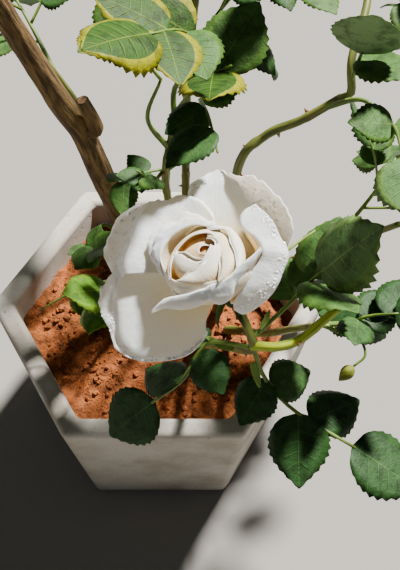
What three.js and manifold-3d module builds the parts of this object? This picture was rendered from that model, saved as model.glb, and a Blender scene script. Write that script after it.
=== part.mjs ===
// A young white rose bush in its hexagonal pot, in millimetres, +Z up.
// The origin is the centre of the pot's flat underside.
import * as THREE from 'three';
import { mergeVertices } from 'three/addons/utils/BufferGeometryUtils.js';
import Module from 'manifold-3d';

const wasm = await Module();
wasm.setup();

const vec = (x, y, z) => new THREE.Vector3(x, y, z);
const UP = vec(0, 0, 1);
const radians = THREE.MathUtils.degToRad;
const mix = THREE.MathUtils.lerp;
const smooth = THREE.MathUtils.smoothstep;

// Pot and soil: radii are taken over the corners of the hexagon
const CORNERS = 6;
const RIM_RADIUS = 125;
const FOOT_RADIUS = 104;
const POT_HEIGHT = 150;
const WALL = 15;
const FLOOR = 16;
const EDGE = 3;
const SOIL_TOP = 131;
const SOIL_FALL = 4;
const SOIL_FLAT_RADIUS = 78;

// Clearance between neighbouring pieces
const GAP = 0.3;

// Where the flower stem forks, where the hip sits, and the way the bloom faces
const FORK = vec(60, -132, 320);
const HIP = vec(49, -121, 348);
const BLOOM_AXIS = vec(-0.322, 0.043, 0.945).normalize();
const HIP_BELOW = 4;
const HIP_ABOVE = 7.7;
const BLOOM_SEAT = 8;
const CANE_NECK = HIP.clone().addScaledVector(BLOOM_AXIS, -HIP_BELOW - 9);
const CANE_TOP = HIP.clone().addScaledVector(BLOOM_AXIS, -HIP_BELOW - GAP);

// Petals: each starts this far out from the bloom's axis and this high above its seat
const PETAL_THICKNESS = 1.3;
const PETAL_GRID = 4;
const PETAL_START = { radius: 4, height: 2 };
const PETAL_STEPS = 40;
const CLAW_WIDTH = 0.34;
const CLAW_LENGTH = 0.62;
const BLOOM_TOLERANCE = 0.1;
const SEPAL_START = { radius: 1.5, height: -2.2 };
const SEPAL_STEPS = 5;
const SEPAL_WIDTH = 6;
const SEPAL_THICKNESS = 1;

// Leaves: a stalk with two pairs of leaflets and one at its end
const LEAFLET_THICKNESS = 1.4;
const LEAFLET_WIDTH = 0.8;
const LEAFLET_FOLD = 0.16;
const LEAFLET_DROOP = 0.12;
const LEAFLET_TILT = 0.7;
const LEAFLET_ROOT = 0.5;
const TIP_LEAFLET_ROOT = 2.5;
const PAIRS = [
  { at: 0.4, size: 0.8, spread: 66 },
  { at: 0.74, size: 0.94, spread: 58 },
];
const STAGGER = 0.035;
const STALK_RADIUS = 1.1;
const STALK_REACH = [1.55, 1.85];
const STALK_AHEAD = 0.55;
const STALK_LIFT = 0.25;
const STALK_SAG = 0.22;
const STEM = { radius: 1.9, sides: 4 };
const SPRAY_STEM = { radius: 1.4, sides: 3 };
const TURN = radians(137.5);
const FIRST_LEAF = 0.25;
const FOLIAGE_TOLERANCE = 0.08;
const UPWARDS = vec(0.31, 0.12, 0.94);
const OWN_SPACE_MARGIN = 1.2;
const LIMB_CLEARANCE = 1.5;
const POT_CLEARANCE = 10;

const finish = (color, roughness) => new THREE.MeshStandardMaterial({ color, roughness, metalness: 0 });
const materials = {
  pot: finish(0xcfc8b8, 0.75),
  soil: finish(0x9a5a30, 0.95),
  bark: finish(0x6f5a3a, 0.85),
  cane: finish(0x5d6b2f, 0.55),
  shoot: finish(0x8fae3c, 0.5),
  leaf: finish(0x2f5a34, 0.45),
  petal: finish(0xf3efe2, 0.6),
};

// A closed body from a three.js geometry, its faces turned outwards
function solid(geometry) {
  geometry.deleteAttribute('normal');
  geometry.deleteAttribute('uv');
  const merged = mergeVertices(geometry, 1e-4);
  const index = merged.index.array;
  const position = merged.attributes.position;
  const triangles = [];
  const corner = [vec(), vec(), vec()];
  let volume = 0;
  for (let i = 0; i < index.length; i += 3) {
    const [a, b, c] = index.slice(i, i + 3);
    if (a === b || b === c || c === a) continue;
    triangles.push(a, b, c);
    corner.forEach((point, k) => point.fromBufferAttribute(position, index[i + k]));
    volume += corner[0].dot(corner[1].cross(corner[2]));
  }
  if (volume < 0) triangles.reverse();
  return new wasm.Manifold(new wasm.Mesh({
    numProp: 3,
    vertProperties: new Float32Array(position.array),
    triVerts: new Uint32Array(triangles),
  }));
}

// The largest body of a fused shape: sealed hollows are filled and loose scraps dropped
function wholeBody(shape) {
  const bodies = new wasm.Manifold(shape.getMesh()).decompose().filter((body) => body.volume() > 0);
  return bodies.reduce((best, body) => (body.volume() > best.volume() ? body : best));
}

const group = new THREE.Group();

function addNode(name, body, material) {
  const { vertProperties, triVerts } = body.getMesh();
  const geometry = new THREE.BufferGeometry();
  geometry.setAttribute('position', new THREE.BufferAttribute(vertProperties, 3));
  geometry.setIndex(new THREE.BufferAttribute(triVerts, 1));
  geometry.computeVertexNormals();
  const mesh = new THREE.Mesh(geometry, material);
  mesh.name = name;
  group.add(mesh);
}

// A profile of [radius, height] points turned about +Z in flat sides, with a corner on +X
function turned(profile, sides) {
  const points = profile.map(([radius, height]) => new THREE.Vector2(radius, height));
  const geometry = new THREE.LatheGeometry(points, sides, Math.PI / 2);
  return geometry.rotateX(Math.PI / 2);
}

// Pot
const wallAtCorner = WALL / Math.cos(Math.PI / CORNERS);
const outerRadius = (height) => mix(FOOT_RADIUS, RIM_RADIUS, height / POT_HEIGHT);
const innerRadius = (height) => outerRadius(height) - wallAtCorner;

function makePot() {
  return solid(turned([
    [0, 0],
    [FOOT_RADIUS - EDGE, 0],
    [outerRadius(EDGE), EDGE],
    [outerRadius(POT_HEIGHT - EDGE), POT_HEIGHT - EDGE],
    [RIM_RADIUS - EDGE, POT_HEIGHT],
    [innerRadius(POT_HEIGHT) + EDGE, POT_HEIGHT],
    [innerRadius(POT_HEIGHT - EDGE), POT_HEIGHT - EDGE],
    [innerRadius(FLOOR), FLOOR],
    [0, FLOOR],
  ], CORNERS));
}

// Soil: level round the stems and a little lower along the wall
function makeSoil() {
  const clear = GAP / Math.cos(Math.PI / CORNERS);
  const edgeHeight = SOIL_TOP - SOIL_FALL;
  return solid(turned([
    [0, FLOOR + GAP],
    [innerRadius(FLOOR + GAP) - clear, FLOOR + GAP],
    [innerRadius(edgeHeight) - clear, edgeHeight],
    [SOIL_FLAT_RADIUS, SOIL_TOP],
    [0, SOIL_TOP],
  ], CORNERS));
}

// A smooth line through a few points
const lineThrough = (points) => new THREE.CatmullRomCurve3(points, false, 'catmullrom', 0.5);

function direction(curve, t) {
  const step = 0.001;
  const ahead = curve.getPoint(Math.min(1, t + step));
  return ahead.sub(curve.getPoint(Math.max(0, t - step))).normalize();
}

// A tapering round limb along a curve
function limbSolid(curve, radiusAt, sides, steps) {
  const geometry = new THREE.CylinderGeometry(1, 1, 1, sides, steps);
  const frames = curve.computeFrenetFrames(steps);
  const position = geometry.attributes.position;
  const point = vec();
  for (let i = 0; i < position.count; i += 1) {
    const t = position.getY(i) + 0.5;
    const ring = Math.round(t * steps);
    const radius = radiusAt(t);
    point.copy(curve.getPointAt(t));
    point.addScaledVector(frames.normals[ring], position.getX(i) * radius);
    point.addScaledVector(frames.binormals[ring], position.getZ(i) * radius);
    position.setXYZ(i, point.x, point.y, point.z);
  }
  return solid(geometry);
}

// Limbs: the trunk, the canes and the boughs above the trunk's fork.
// A limb rises from the soil, starts on another limb's side, or carries on from its end.
const limbs = new Map();
const STRAIGHT_RUN = 6;
const FLARE_FALL = 14;

// Where a limb or shoot starts: in the middle of the limb that it leaves, or straight on from its end
function startFrom({ on, after }) {
  if (on) return [limbs.get(on.limb).curve.getPoint(on.at)];
  const before = limbs.get(after).curve;
  const ahead = direction(before, 1);
  const start = before.getPoint(1).addScaledVector(ahead, GAP);
  return [start, start.clone().addScaledVector(ahead, STRAIGHT_RUN)];
}

function limbFrom({ name, foot, on, after, through, radii, flare = 0, sides = 6, steps = 8, material }) {
  const height = SOIL_TOP + GAP;
  const start = foot
    ? [vec(...foot, height), vec(...foot, height + STRAIGHT_RUN)]
    : startFrom({ on, after });
  const curve = lineThrough([...start, ...through.map((point) => vec(...point))]);
  const radiusAt = (t) => mix(radii[0], radii[1], t) + flare * Math.exp(-t * FLARE_FALL);
  const limb = { name, curve, radiusAt, sides, steps, material, on: on?.limb };
  limbs.set(name, limb);
  return limb;
}

const LIMBS = [
  {
    name: 'trunk', foot: [0, 22],
    through: [[-31, 28, 257], [-42, 31, 304], [-54, 35, 328], [-76, 42, 384], [-88, 45, 418]],
    radii: [8.8, 6.8], flare: 5, sides: 8, steps: 12, material: 'bark',
  },
  {
    name: 'flower_cane', foot: [28, -26],
    through: [[44, -72, 215], [58, -118, 290], FORK, CANE_NECK, CANE_TOP],
    radii: [3.4, 2.3], flare: 1.2, steps: 12, material: 'cane',
  },
  {
    name: 'olive_cane', foot: [46, 4],
    through: [[50, -16, 230], [53, -34, 345], [67, -30, 368], [86, -31, 382], [104, -31, 398]],
    radii: [3.6, 2.4], flare: 1.2, steps: 12, material: 'cane',
  },
  {
    name: 'middle_cane', foot: [32, 24],
    through: [[18, 10, 220], [11, -6, 300], [17, -6, 350]],
    radii: [3.4, 2.3], flare: 1, steps: 9, material: 'cane',
  },
  {
    name: 'right_cane', foot: [54, -16],
    through: [[76, -52, 195], [88, -88, 262], [98, -108, 300]],
    radii: [3.2, 2.1], flare: 1, steps: 9, material: 'cane',
  },
  {
    name: 'back_cane', foot: [22, 50],
    through: [[22, 54, 230], [24, 62, 310], [30, 84, 372]],
    radii: [3.6, 2.3], flare: 1, steps: 9, material: 'cane',
  },
  {
    name: 'back_left_cane', foot: [-16, 54],
    through: [[-31, 66, 206], [-50, 74, 282], [-82, 84, 340]],
    radii: [3.2, 2.2], flare: 1, steps: 9, material: 'cane',
  },
  {
    name: 'side_cane', foot: [64, 14],
    through: [[96, 24, 168], [128, 2, 222], [158, -16, 270]],
    radii: [3.2, 2.1], flare: 1, steps: 8, material: 'cane',
  },
  {
    name: 'pruned_shoot', on: { limb: 'flower_cane', at: 0.667 },
    through: [[72, -136, 326], [84, -134, 331], [101, -125, 345]],
    radii: [2.7, 2.4], steps: 6, material: 'shoot',
  },
  {
    name: 'upper_bough', after: 'trunk',
    through: [[-100, 62, 440], [-98, 76, 456]],
    radii: [4.6, 2.6], steps: 4, material: 'cane',
  },
  {
    name: 'left_bough', on: { limb: 'trunk', at: 0.93 },
    through: [[-104, 24, 420], [-124, 12, 434]],
    radii: [3.6, 2.3], steps: 5, material: 'cane',
  },
  {
    name: 'high_right_bough', after: 'olive_cane',
    through: [[108, -22, 417], [117, 8, 428], [116, 36, 430]],
    radii: [2.4, 2], steps: 5, material: 'cane',
  },
];
LIMBS.forEach(limbFrom);

// A short stub where a bough was cut from the trunk's right side
const STUB = { at: 0.52, through: [[-33, 29, 309], [-39, 30, 333]], radii: [5.2, 4.4] };

function grownBy({ curve, radiusAt, sides, steps }, extra) {
  return limbSolid(curve, (t) => radiusAt(t) + extra, sides, steps);
}

function makeLimb(limb) {
  let body = grownBy(limb, 0);
  if (limb.on) body = body.subtract(grownBy(limbs.get(limb.on), GAP));
  return wholeBody(body);
}

function makeTrunk() {
  const trunk = limbs.get('trunk');
  const points = [trunk.curve.getPoint(STUB.at), ...STUB.through.map((point) => vec(...point))];
  const stub = limbSolid(lineThrough(points), (t) => mix(...STUB.radii, t), 7, 3);
  return wholeBody(grownBy(trunk, 0).add(stub));
}

// Repeatable random numbers from 0 to 1
function randomsFrom(seed) {
  let state = seed;
  return () => {
    state = (state * 1664525 + 1013904223) % 4294967296;
    return state / 4294967296;
  };
}

// Leafy shoots. Each grows on a limb's side or from its end, and carries alternate leaves.
// One with no count of leaves is a single leaf, whose stalk is the shoot's own line.
const SHOOTS = [
  {
    name: 'front_spray', on: { limb: 'flower_cane', at: 0.62 },
    through: [[67, -137, 294], [83, -149, 279], [117, -168, 270]],
    leaflet: 40, seed: 12492,
  },
  {
    name: 'left_spray', on: { limb: 'flower_cane', at: 0.645 },
    through: [[36, -128, 315], [23, -143, 303], [6, -149, 287]],
    leaflet: 34, seed: 16416,
  },
  {
    name: 'right_spray', on: { limb: 'flower_cane', at: 0.71 },
    through: [[77, -114, 329], [89, -103, 335], [95, -103, 346]],
    leaflet: 40, seed: 3706,
  },
  {
    name: 'right_shoot', after: 'right_cane',
    through: [[112, -115, 302], [121, -113, 299]],
    leaves: 2, leaflet: 30, seed: 23208,
  },
  {
    name: 'olive_top_shoot', on: { limb: 'high_right_bough', at: 0.36 },
    through: [[109, -37, 435]],
    leaflet: 36, seed: 23124,
  },
  {
    name: 'olive_side_shoot', on: { limb: 'olive_cane', at: 0.93 },
    through: [[112, -42, 408], [123, -51, 405]],
    leaves: 1, leaflet: 31, seed: 9862,
  },
  {
    name: 'middle_top_shoot', after: 'middle_cane',
    through: [[19, 3, 373], [39, -7, 406]],
    leaves: 3, leaflet: 42, seed: 5184,
  },
  {
    name: 'middle_side_shoot', on: { limb: 'middle_cane', at: 0.9 },
    through: [[3, -11, 361], [11, -3, 383]],
    leaves: 2, leaflet: 30, seed: 4804,
  },
  {
    name: 'middle_right_shoot', on: { limb: 'middle_cane', at: 0.8 },
    through: [[35, -4, 336], [32, -12, 377]],
    leaves: 2, leaflet: 34, seed: 15362,
  },
  {
    name: 'middle_low_shoot', on: { limb: 'middle_cane', at: 0.72 },
    through: [[12, -3, 309], [2, -21, 312]],
    leaves: 2, leaflet: 22, seed: 22181,
  },
  {
    name: 'sprout', on: { limb: 'trunk', at: 0.2 },
    through: [[-20, -9, 199], [-31, -47, 213]],
    leaves: 2, leaflet: 37, seed: 24842,
  },
  {
    name: 'low_left_shoot', on: { limb: 'trunk', at: 0.24 },
    through: [[-35, 21, 220], [-43, -8, 225]],
    leaves: 1, leaflet: 22, seed: 20747,
  },
  {
    name: 'upper_shoot', after: 'upper_bough',
    through: [[-92, 84, 474], [-84, 90, 492]],
    leaves: 4, leaflet: 33, seed: 80,
  },
  {
    name: 'upper_side_shoot', on: { limb: 'upper_bough', at: 0.55 },
    through: [[-122, 82, 440], [-142, 94, 448]],
    leaves: 3, leaflet: 33, seed: 948,
  },
  {
    name: 'left_shoot', after: 'left_bough',
    through: [[-140, 2, 448], [-152, -6, 464]],
    leaves: 4, leaflet: 33, seed: 1109,
  },
  {
    name: 'left_low_shoot', on: { limb: 'left_bough', at: 0.6 },
    through: [[-130, 34, 408], [-148, 46, 388]],
    leaves: 4, leaflet: 32, seed: 997,
  },
  {
    name: 'back_top_shoot', after: 'back_cane',
    through: [[34, 100, 404], [30, 112, 436]],
    leaves: 5, leaflet: 34, seed: 1753,
  },
  {
    name: 'back_side_shoot', on: { limb: 'back_cane', at: 0.9 },
    through: [[-2, 104, 372], [-20, 122, 388]],
    leaves: 4, leaflet: 32, seed: 3335,
  },
  {
    name: 'back_low_shoot', on: { limb: 'back_cane', at: 0.82 },
    through: [[42, 100, 336], [62, 130, 340]],
    leaves: 4, leaflet: 32, seed: 1571,
  },
  {
    name: 'high_right_shoot', after: 'high_right_bough',
    through: [[112, 66, 430], [106, 80, 446]],
    leaves: 4, leaflet: 34, seed: 17,
  },
  {
    name: 'high_right_side_shoot', on: { limb: 'high_right_bough', at: 0.8 },
    through: [[140, 48, 412], [158, 62, 400]],
    leaves: 4, leaflet: 33, seed: 1585,
  },
  {
    name: 'side_top_shoot', after: 'side_cane',
    through: [[170, -20, 298], [170, -18, 322]],
    leaves: 4, leaflet: 33, seed: 220,
  },
  {
    name: 'side_low_shoot', on: { limb: 'side_cane', at: 0.7 },
    through: [[150, 28, 246], [166, 50, 258]],
    leaves: 4, leaflet: 32, seed: 1893,
  },
  {
    name: 'back_left_top_shoot', after: 'back_left_cane',
    through: [[-98, 98, 368], [-100, 108, 390]],
    leaves: 4, leaflet: 33, seed: 1123,
  },
  {
    name: 'back_left_side_shoot', on: { limb: 'back_left_cane', at: 0.85 },
    through: [[-78, 108, 318], [-92, 132, 326]],
    leaves: 4, leaflet: 32, seed: 1249,
  },
];

// The air that leaves keep clear of: the bloom, and the open side that it faces
const BLOOM_ROOM = { from: vec(36, -120, 372), to: vec(30, -230, 540), radius: 52 };

function pointLineDistance(point, from, to) {
  return new THREE.Line3(from, to).closestPointToPoint(point, true, vec()).distanceTo(point);
}

const SAMPLES = 9;
const sampled = (curve) => Array.from({ length: SAMPLES }, (_, i) => curve.getPoint(i / (SAMPLES - 1)));

for (const shoot of SHOOTS) {
  shoot.curve = lineThrough([...startFrom(shoot), ...shoot.through.map((point) => vec(...point))]);
  shoot.path = sampled(shoot.curve);
}
const THICKNESS_AT = 0.3;
for (const limb of limbs.values()) {
  limb.path = sampled(limb.curve);
  limb.thickness = limb.radiusAt(THICKNESS_AT);
}

function distanceToPath(point, path) {
  let nearest = Infinity;
  for (let i = 1; i < path.length; i += 1) {
    nearest = Math.min(nearest, pointLineDistance(point, path[i - 1], path[i]));
  }
  return nearest;
}

// A point belongs to the shoot whose stem it lies nearest to
function inOwnSpace(point, shoot) {
  if (pointLineDistance(point, BLOOM_ROOM.from, BLOOM_ROOM.to) < BLOOM_ROOM.radius) return false;
  const overPot = Math.hypot(point.x, point.y) < RIM_RADIUS + POT_CLEARANCE;
  if (overPot && point.z < POT_HEIGHT + POT_CLEARANCE) return false;
  for (const limb of limbs.values()) {
    if (distanceToPath(point, limb.path) < limb.thickness + LIMB_CLEARANCE) return false;
  }
  const own = distanceToPath(point, shoot.path) + OWN_SPACE_MARGIN;
  return SHOOTS.every((other) => other === shoot || distanceToPath(point, other.path) > own);
}

// A leaflet: a blade folded a little along its middle, broad in the middle and pointed at its tip
function leafletFrame(root, along, up, length) {
  const side = up.clone().cross(along).normalize();
  const normal = along.clone().cross(side);
  return { root, along, side, normal, length };
}

function leafletPoint({ root, along, side, normal, length }, u, v, w) {
  return root.clone()
    .addScaledVector(along, u * length)
    .addScaledVector(side, v * length)
    .addScaledVector(normal, (w - LEAFLET_DROOP * u * u) * length);
}

function leafletSolid(frame) {
  const geometry = new THREE.SphereGeometry(1, 6, 2);
  const position = geometry.attributes.position;
  for (let i = 0; i < position.count; i += 1) {
    const [x, y, z] = [position.getX(i), position.getY(i), position.getZ(i)];
    const u = 0.5 + 0.5 * x - 0.1 * (1 - x * x) * (1 - Math.abs(y));
    const v = z * LEAFLET_WIDTH * 0.5 * (x > 0.1 ? 0.95 : 1.1);
    const w = y * 0.5 * (LEAFLET_THICKNESS / frame.length) + Math.abs(v) * LEAFLET_FOLD;
    const point = leafletPoint(frame, u, v, w);
    position.setXYZ(i, point.x, point.y, point.z);
  }
  return solid(geometry);
}

// Points of a blade that are tried against what is near it: along its middle, and out at its sides
const MIDDLE_POINTS = [0.15, 0.5, 0.8, 1].map((u) => [u, 0]);
const SIDE_POINTS = [[0.3, 0.4], [0.7, 0.34]].flatMap(([u, v]) => [[u, v], [u, -v]]);
const CHECK_POINTS = [...MIDDLE_POINTS, ...SIDE_POINTS];
const BLADE_ROOM = 2.2;
const BLADE_REACH = 0.525;
const BLADE_SPREAD = 0.42;

// Whether a blade comes through another one of the same shoot
function crosses(frame, other) {
  return CHECK_POINTS.some(([u, v]) => {
    const offset = leafletPoint(frame, u, v, 0).sub(other.root);
    const alongBlade = offset.dot(other.along) / other.length;
    const acrossBlade = offset.dot(other.side) / other.length;
    const above = offset.dot(other.normal) + LEAFLET_DROOP * alongBlade * alongBlade * other.length;
    const over = Math.hypot((alongBlade - 0.5) / BLADE_REACH, acrossBlade / BLADE_SPREAD) < 1;
    return over && Math.abs(above) < BLADE_ROOM;
  });
}

function leafletFits(frame, shoot, earlier) {
  if (!CHECK_POINTS.every(([u, v]) => inOwnSpace(leafletPoint(frame, u, v, 0), shoot))) return false;
  return !earlier.some((other) => crosses(frame, other) || crosses(other, frame));
}

// The leaflets of one leaf whose stalk follows a curve
function leafletsAlong(curve, size, shoot, random, earlier) {
  const frames = [];
  const place = (at, length, spread, hand) => {
    const ahead = direction(curve, at);
    const tilt = vec(random() - 0.5, random() - 0.5, 0).multiplyScalar(LEAFLET_TILT);
    const up = UP.clone().add(tilt);
    const side = up.clone().cross(ahead).normalize();
    const along = ahead.clone().multiplyScalar(Math.cos(spread));
    along.addScaledVector(side, hand * Math.sin(spread)).normalize();
    const sunk = at < 1 ? LEAFLET_ROOT : TIP_LEAFLET_ROOT;
    const root = curve.getPoint(at).addScaledVector(along, -sunk);
    const frame = leafletFrame(root, along, up, length + sunk);
    if (leafletFits(frame, shoot, [...earlier, ...frames])) frames.push(frame);
  };
  for (const pair of PAIRS) {
    for (const hand of [-1, 1]) {
      const length = size * pair.size * mix(0.9, 1.1, random());
      place(pair.at + hand * STAGGER, length, radians(pair.spread), hand);
    }
  }
  place(1, size * mix(1, 1.15, random()), 0, 1);
  return frames;
}

// Where the stalks and blades of a shoot grow
function leavesOf(shoot) {
  const random = randomsFrom(shoot.seed);
  if (!shoot.leaves) {
    return { stalks: [], blades: leafletsAlong(shoot.curve, shoot.leaflet, shoot, random, []) };
  }
  const stalks = [];
  const blades = [];
  let angle = random() * 2 * Math.PI;
  for (let i = 0; i < shoot.leaves; i += 1) {
    const at = mix(FIRST_LEAF, 1, (i + 0.5) / (shoot.leaves - 0.5));
    const ahead = direction(shoot.curve, at);
    const across = ahead.clone().cross(UPWARDS).normalize();
    const over = across.clone().cross(ahead);
    const out = across.multiplyScalar(Math.cos(angle)).addScaledVector(over, Math.sin(angle));
    const heading = out.addScaledVector(ahead, STALK_AHEAD).addScaledVector(UP, STALK_LIFT).normalize();
    const start = shoot.curve.getPoint(at);
    const reach = shoot.leaflet * mix(...STALK_REACH, random());
    const middle = start.clone().addScaledVector(heading, reach * 0.5);
    const end = start.clone().addScaledVector(heading, reach).addScaledVector(UP, -STALK_SAG * reach);
    const stalk = lineThrough([start, middle, end]);
    const frames = leafletsAlong(stalk, shoot.leaflet, shoot, random, blades);
    if (frames.length > 0) {
      stalks.push(stalk);
      blades.push(...frames);
    }
    angle += TURN;
  }
  return { stalks, blades };
}

function makeShoot(shoot) {
  const { stalks, blades } = leavesOf(shoot);
  const { radius, sides } = shoot.leaves ? STEM : SPRAY_STEM;
  const stem = limbSolid(shoot.curve, (t) => mix(radius, STALK_RADIUS, t), sides, 4);
  const leafStalks = stalks.map((curve) => limbSolid(curve, () => STALK_RADIUS, 3, 3));
  let body = wasm.Manifold.union([stem, ...leafStalks, ...blades.map(leafletSolid)]);
  if (shoot.on) body = body.subtract(grownBy(limbs.get(shoot.on.limb), GAP));
  return wholeBody(body.simplify(FOLIAGE_TOLERANCE));
}

// Bloom: petals that start round a small seat and lean out from the bloom's axis
const bloomSide = vec(0, 1, 0).cross(BLOOM_AXIS).normalize();
const bloomBack = BLOOM_AXIS.clone().cross(bloomSide);
const inBloom = (x, y, z) => HIP.clone()
  .addScaledVector(BLOOM_AXIS, BLOOM_SEAT + z)
  .addScaledVector(bloomSide, x)
  .addScaledVector(bloomBack, y);

// Angles in degrees: azimuth about the axis, lean at root, middle and tip, and roll of left edge, tip and
// right edge. Cup is how far a petal wraps the axis, at no less than room from it, and band is the rolled
// part of its width.
const PETALS = [
  {
    azimuth: 209, length: 62, width: 74, lean: [15, 95, 118],
    cup: 0.15, room: 20, roll: [60, 30, 20], band: 0.3,
  },
  {
    azimuth: 160, length: 64, width: 66, lean: [12, 73, 74],
    cup: 0.25, room: 20, roll: [40, 20, 30], band: 0.3,
  },
  {
    azimuth: 66, length: 59, width: 72, lean: [10, 60, 55],
    cup: 0.35, room: 20, roll: [20, 25, 60], band: 0.35,
  },
  {
    azimuth: 352, length: 58, width: 60, lean: [10, 48, 66],
    cup: 0.5, room: 18, roll: [60, 110, 60], band: 0.45,
  },
  {
    azimuth: 285, length: 48, width: 64, lean: [12, 40, 55],
    cup: 0.8, room: 16, roll: [80, 120, 60], band: 0.35,
  },
  {
    azimuth: 205, length: 44, width: 60, lean: [20, 35, 15],
    cup: 1, room: 14, roll: [0, 20, 0], band: 0.2,
  },
  {
    azimuth: 90, length: 44, width: 62, lean: [20, 35, 12],
    cup: 1, room: 14, roll: [0, 30, 0], band: 0.2,
  },
  {
    azimuth: 330, length: 44, width: 60, lean: [20, 30, 12],
    cup: 1, room: 14, roll: [0, 20, 0], band: 0.2,
  },
];

// How far petals and sepals lean from the bloom's axis, from root to tip
const leanAlong = ([root, middle, tip]) => (t) =>
  radians((1 - t) ** 2 * root + 2 * t * (1 - t) * middle + t * t * tip);

// The middle line of a petal or sepal, as radius from the bloom's axis and height along it
function leaningLine(start, length, leanAt, steps) {
  const line = [start];
  for (let i = 0; i < steps; i += 1) {
    const angle = leanAt((i + 0.5) / steps);
    line.push({
      radius: line[i].radius + Math.sin(angle) * length / steps,
      height: line[i].height + Math.cos(angle) * length / steps,
    });
  }
  return line;
}

function alongLine(line, t) {
  const steps = line.length - 1;
  const i = Math.min(steps - 1, Math.floor(t * steps));
  const part = t * steps - i;
  return {
    radius: mix(line[i].radius, line[i + 1].radius, part),
    height: mix(line[i].height, line[i + 1].height, part),
  };
}

// A petal's edge rolls back: where a point of the flat round blade goes, and how far behind the blade
function rolledEdge(x, y, { width, roll, band }) {
  const out = Math.hypot(x, y);
  const quarter = Math.abs(Math.atan2(x, y)) / (Math.PI / 2);
  const side = x < 0 ? roll[0] : roll[2];
  const bend = quarter < 1 ? mix(roll[1], side, smooth(quarter, 0, 1)) : side * (1 - smooth(quarter, 1, 1.7));
  const curl = Math.max(radians(bend), 0.001);
  const margin = Math.max(0, (out - (1 - band)) / band);
  const reach = margin > 0 ? 1 - band + band * Math.sin(margin * curl) / curl : out;
  return {
    scale: reach / Math.max(out, 1e-9),
    back: band * width * 0.5 * (1 - Math.cos(margin * curl)) / curl,
  };
}

function petalSolid(petal) {
  const { azimuth, length, width, lean, cup, room } = petal;
  const leanAt = leanAlong(lean);
  const line = leaningLine(PETAL_START, length, leanAt, PETAL_STEPS);
  const geometry = new THREE.BoxGeometry(2, 2, 1, PETAL_GRID, PETAL_GRID, 1);
  const position = geometry.attributes.position;
  for (let i = 0; i < position.count; i += 1) {
    const [a, b, layer] = [position.getX(i), position.getY(i), position.getZ(i)];
    const x = a * Math.sqrt(1 - b * b / 2);
    const y = b * Math.sqrt(1 - a * a / 2);
    const { scale, back } = rolledEdge(x, y, petal);
    const along = THREE.MathUtils.clamp((y * scale + 1) / 2, 0, 1);
    const { radius, height } = alongLine(line, along);
    const angle = leanAt(along);
    const claw = mix(CLAW_WIDTH, 1, smooth(along, 0, CLAW_LENGTH));
    const curve = cup / Math.max(radius, room);
    const sweep = x * scale * width * 0.5 * claw * curve;
    const inward = (1 - Math.cos(sweep)) / curve;
    const outwards = Math.cos(angle);
    const upwards = Math.sin(angle);
    const point = vec(radius - outwards * inward, Math.sin(sweep) / curve, height + upwards * inward);
    const normal = vec(-outwards * Math.cos(sweep), -Math.sin(sweep), upwards * Math.cos(sweep));
    point.addScaledVector(normal, layer * PETAL_THICKNESS - back);
    point.applyAxisAngle(UP, radians(azimuth));
    const placed = inBloom(point.x, point.y, point.z);
    position.setXYZ(i, placed.x, placed.y, placed.z);
  }
  return solid(geometry);
}

// A round body about the bloom's axis, from a profile of [radius, height above the seat]
function aboutBloom(profile, sides) {
  const geometry = turned(profile, sides);
  const basis = new THREE.Matrix4().makeBasis(bloomSide, bloomBack, BLOOM_AXIS);
  basis.setPosition(inBloom(0, 0, 0));
  return geometry.applyMatrix4(basis);
}

const BUD_PROFILE = [[0, 0], [4, 0], [11, 10], [14.5, 22], [13.5, 32], [8, 39], [0, 39]];

function makeBloom() {
  const bud = solid(aboutBloom(BUD_PROFILE, 10));
  return wholeBody(wasm.Manifold.union([bud, ...PETALS.map(petalSolid)]).simplify(BLOOM_TOLERANCE));
}

// Calyx: the hip and its five sepals, bent back under the petals
const SEPALS = [
  { azimuth: 10, length: 50, lean: [80, 86, 80] },
  { azimuth: 82, length: 26, lean: [90, 120, 160] },
  { azimuth: 154, length: 26, lean: [90, 120, 165] },
  { azimuth: 226, length: 24, lean: [90, 130, 170] },
  { azimuth: 286, length: 24, lean: [90, 130, 175] },
];

function sepalSolid({ azimuth, length, lean }) {
  const leanAt = leanAlong(lean);
  const line = leaningLine(SEPAL_START, length, leanAt, SEPAL_STEPS);
  const geometry = new THREE.BoxGeometry(1, 1, 1, 1, 1, SEPAL_STEPS);
  const position = geometry.attributes.position;
  for (let i = 0; i < position.count; i += 1) {
    const t = position.getZ(i) + 0.5;
    const { radius, height } = line[Math.round(t * SEPAL_STEPS)];
    const angle = leanAt(t);
    const across = position.getY(i) * SEPAL_WIDTH * (1 - 0.85 * t * t);
    const lift = position.getX(i) * SEPAL_THICKNESS * (1 - 0.5 * t);
    const point = vec(radius - Math.cos(angle) * lift, across, height + Math.sin(angle) * lift);
    point.applyAxisAngle(UP, radians(azimuth));
    const placed = inBloom(point.x, point.y, point.z);
    position.setXYZ(i, placed.x, placed.y, placed.z);
  }
  return solid(geometry);
}

function makeCalyx() {
  const top = HIP_ABOVE - BLOOM_SEAT;
  const bottom = -HIP_BELOW - BLOOM_SEAT;
  const swelling = [[4.8, -8], [4.4, -3]];
  const hip = solid(aboutBloom([[0, bottom], [2.4, bottom], ...swelling, [3.6, top], [0, top]], 8));
  return wholeBody(wasm.Manifold.union([hip, ...SEPALS.map(sepalSolid)]));
}

addNode('pot', makePot(), materials.pot);
addNode('soil', makeSoil(), materials.soil);
for (const limb of limbs.values()) {
  addNode(limb.name, limb.name === 'trunk' ? makeTrunk() : makeLimb(limb), materials[limb.material]);
}
for (const shoot of SHOOTS) addNode(shoot.name, makeShoot(shoot), materials.leaf);
addNode('calyx', makeCalyx(), materials.cane);
addNode('bloom', makeBloom(), materials.petal);

export default group;
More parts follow.
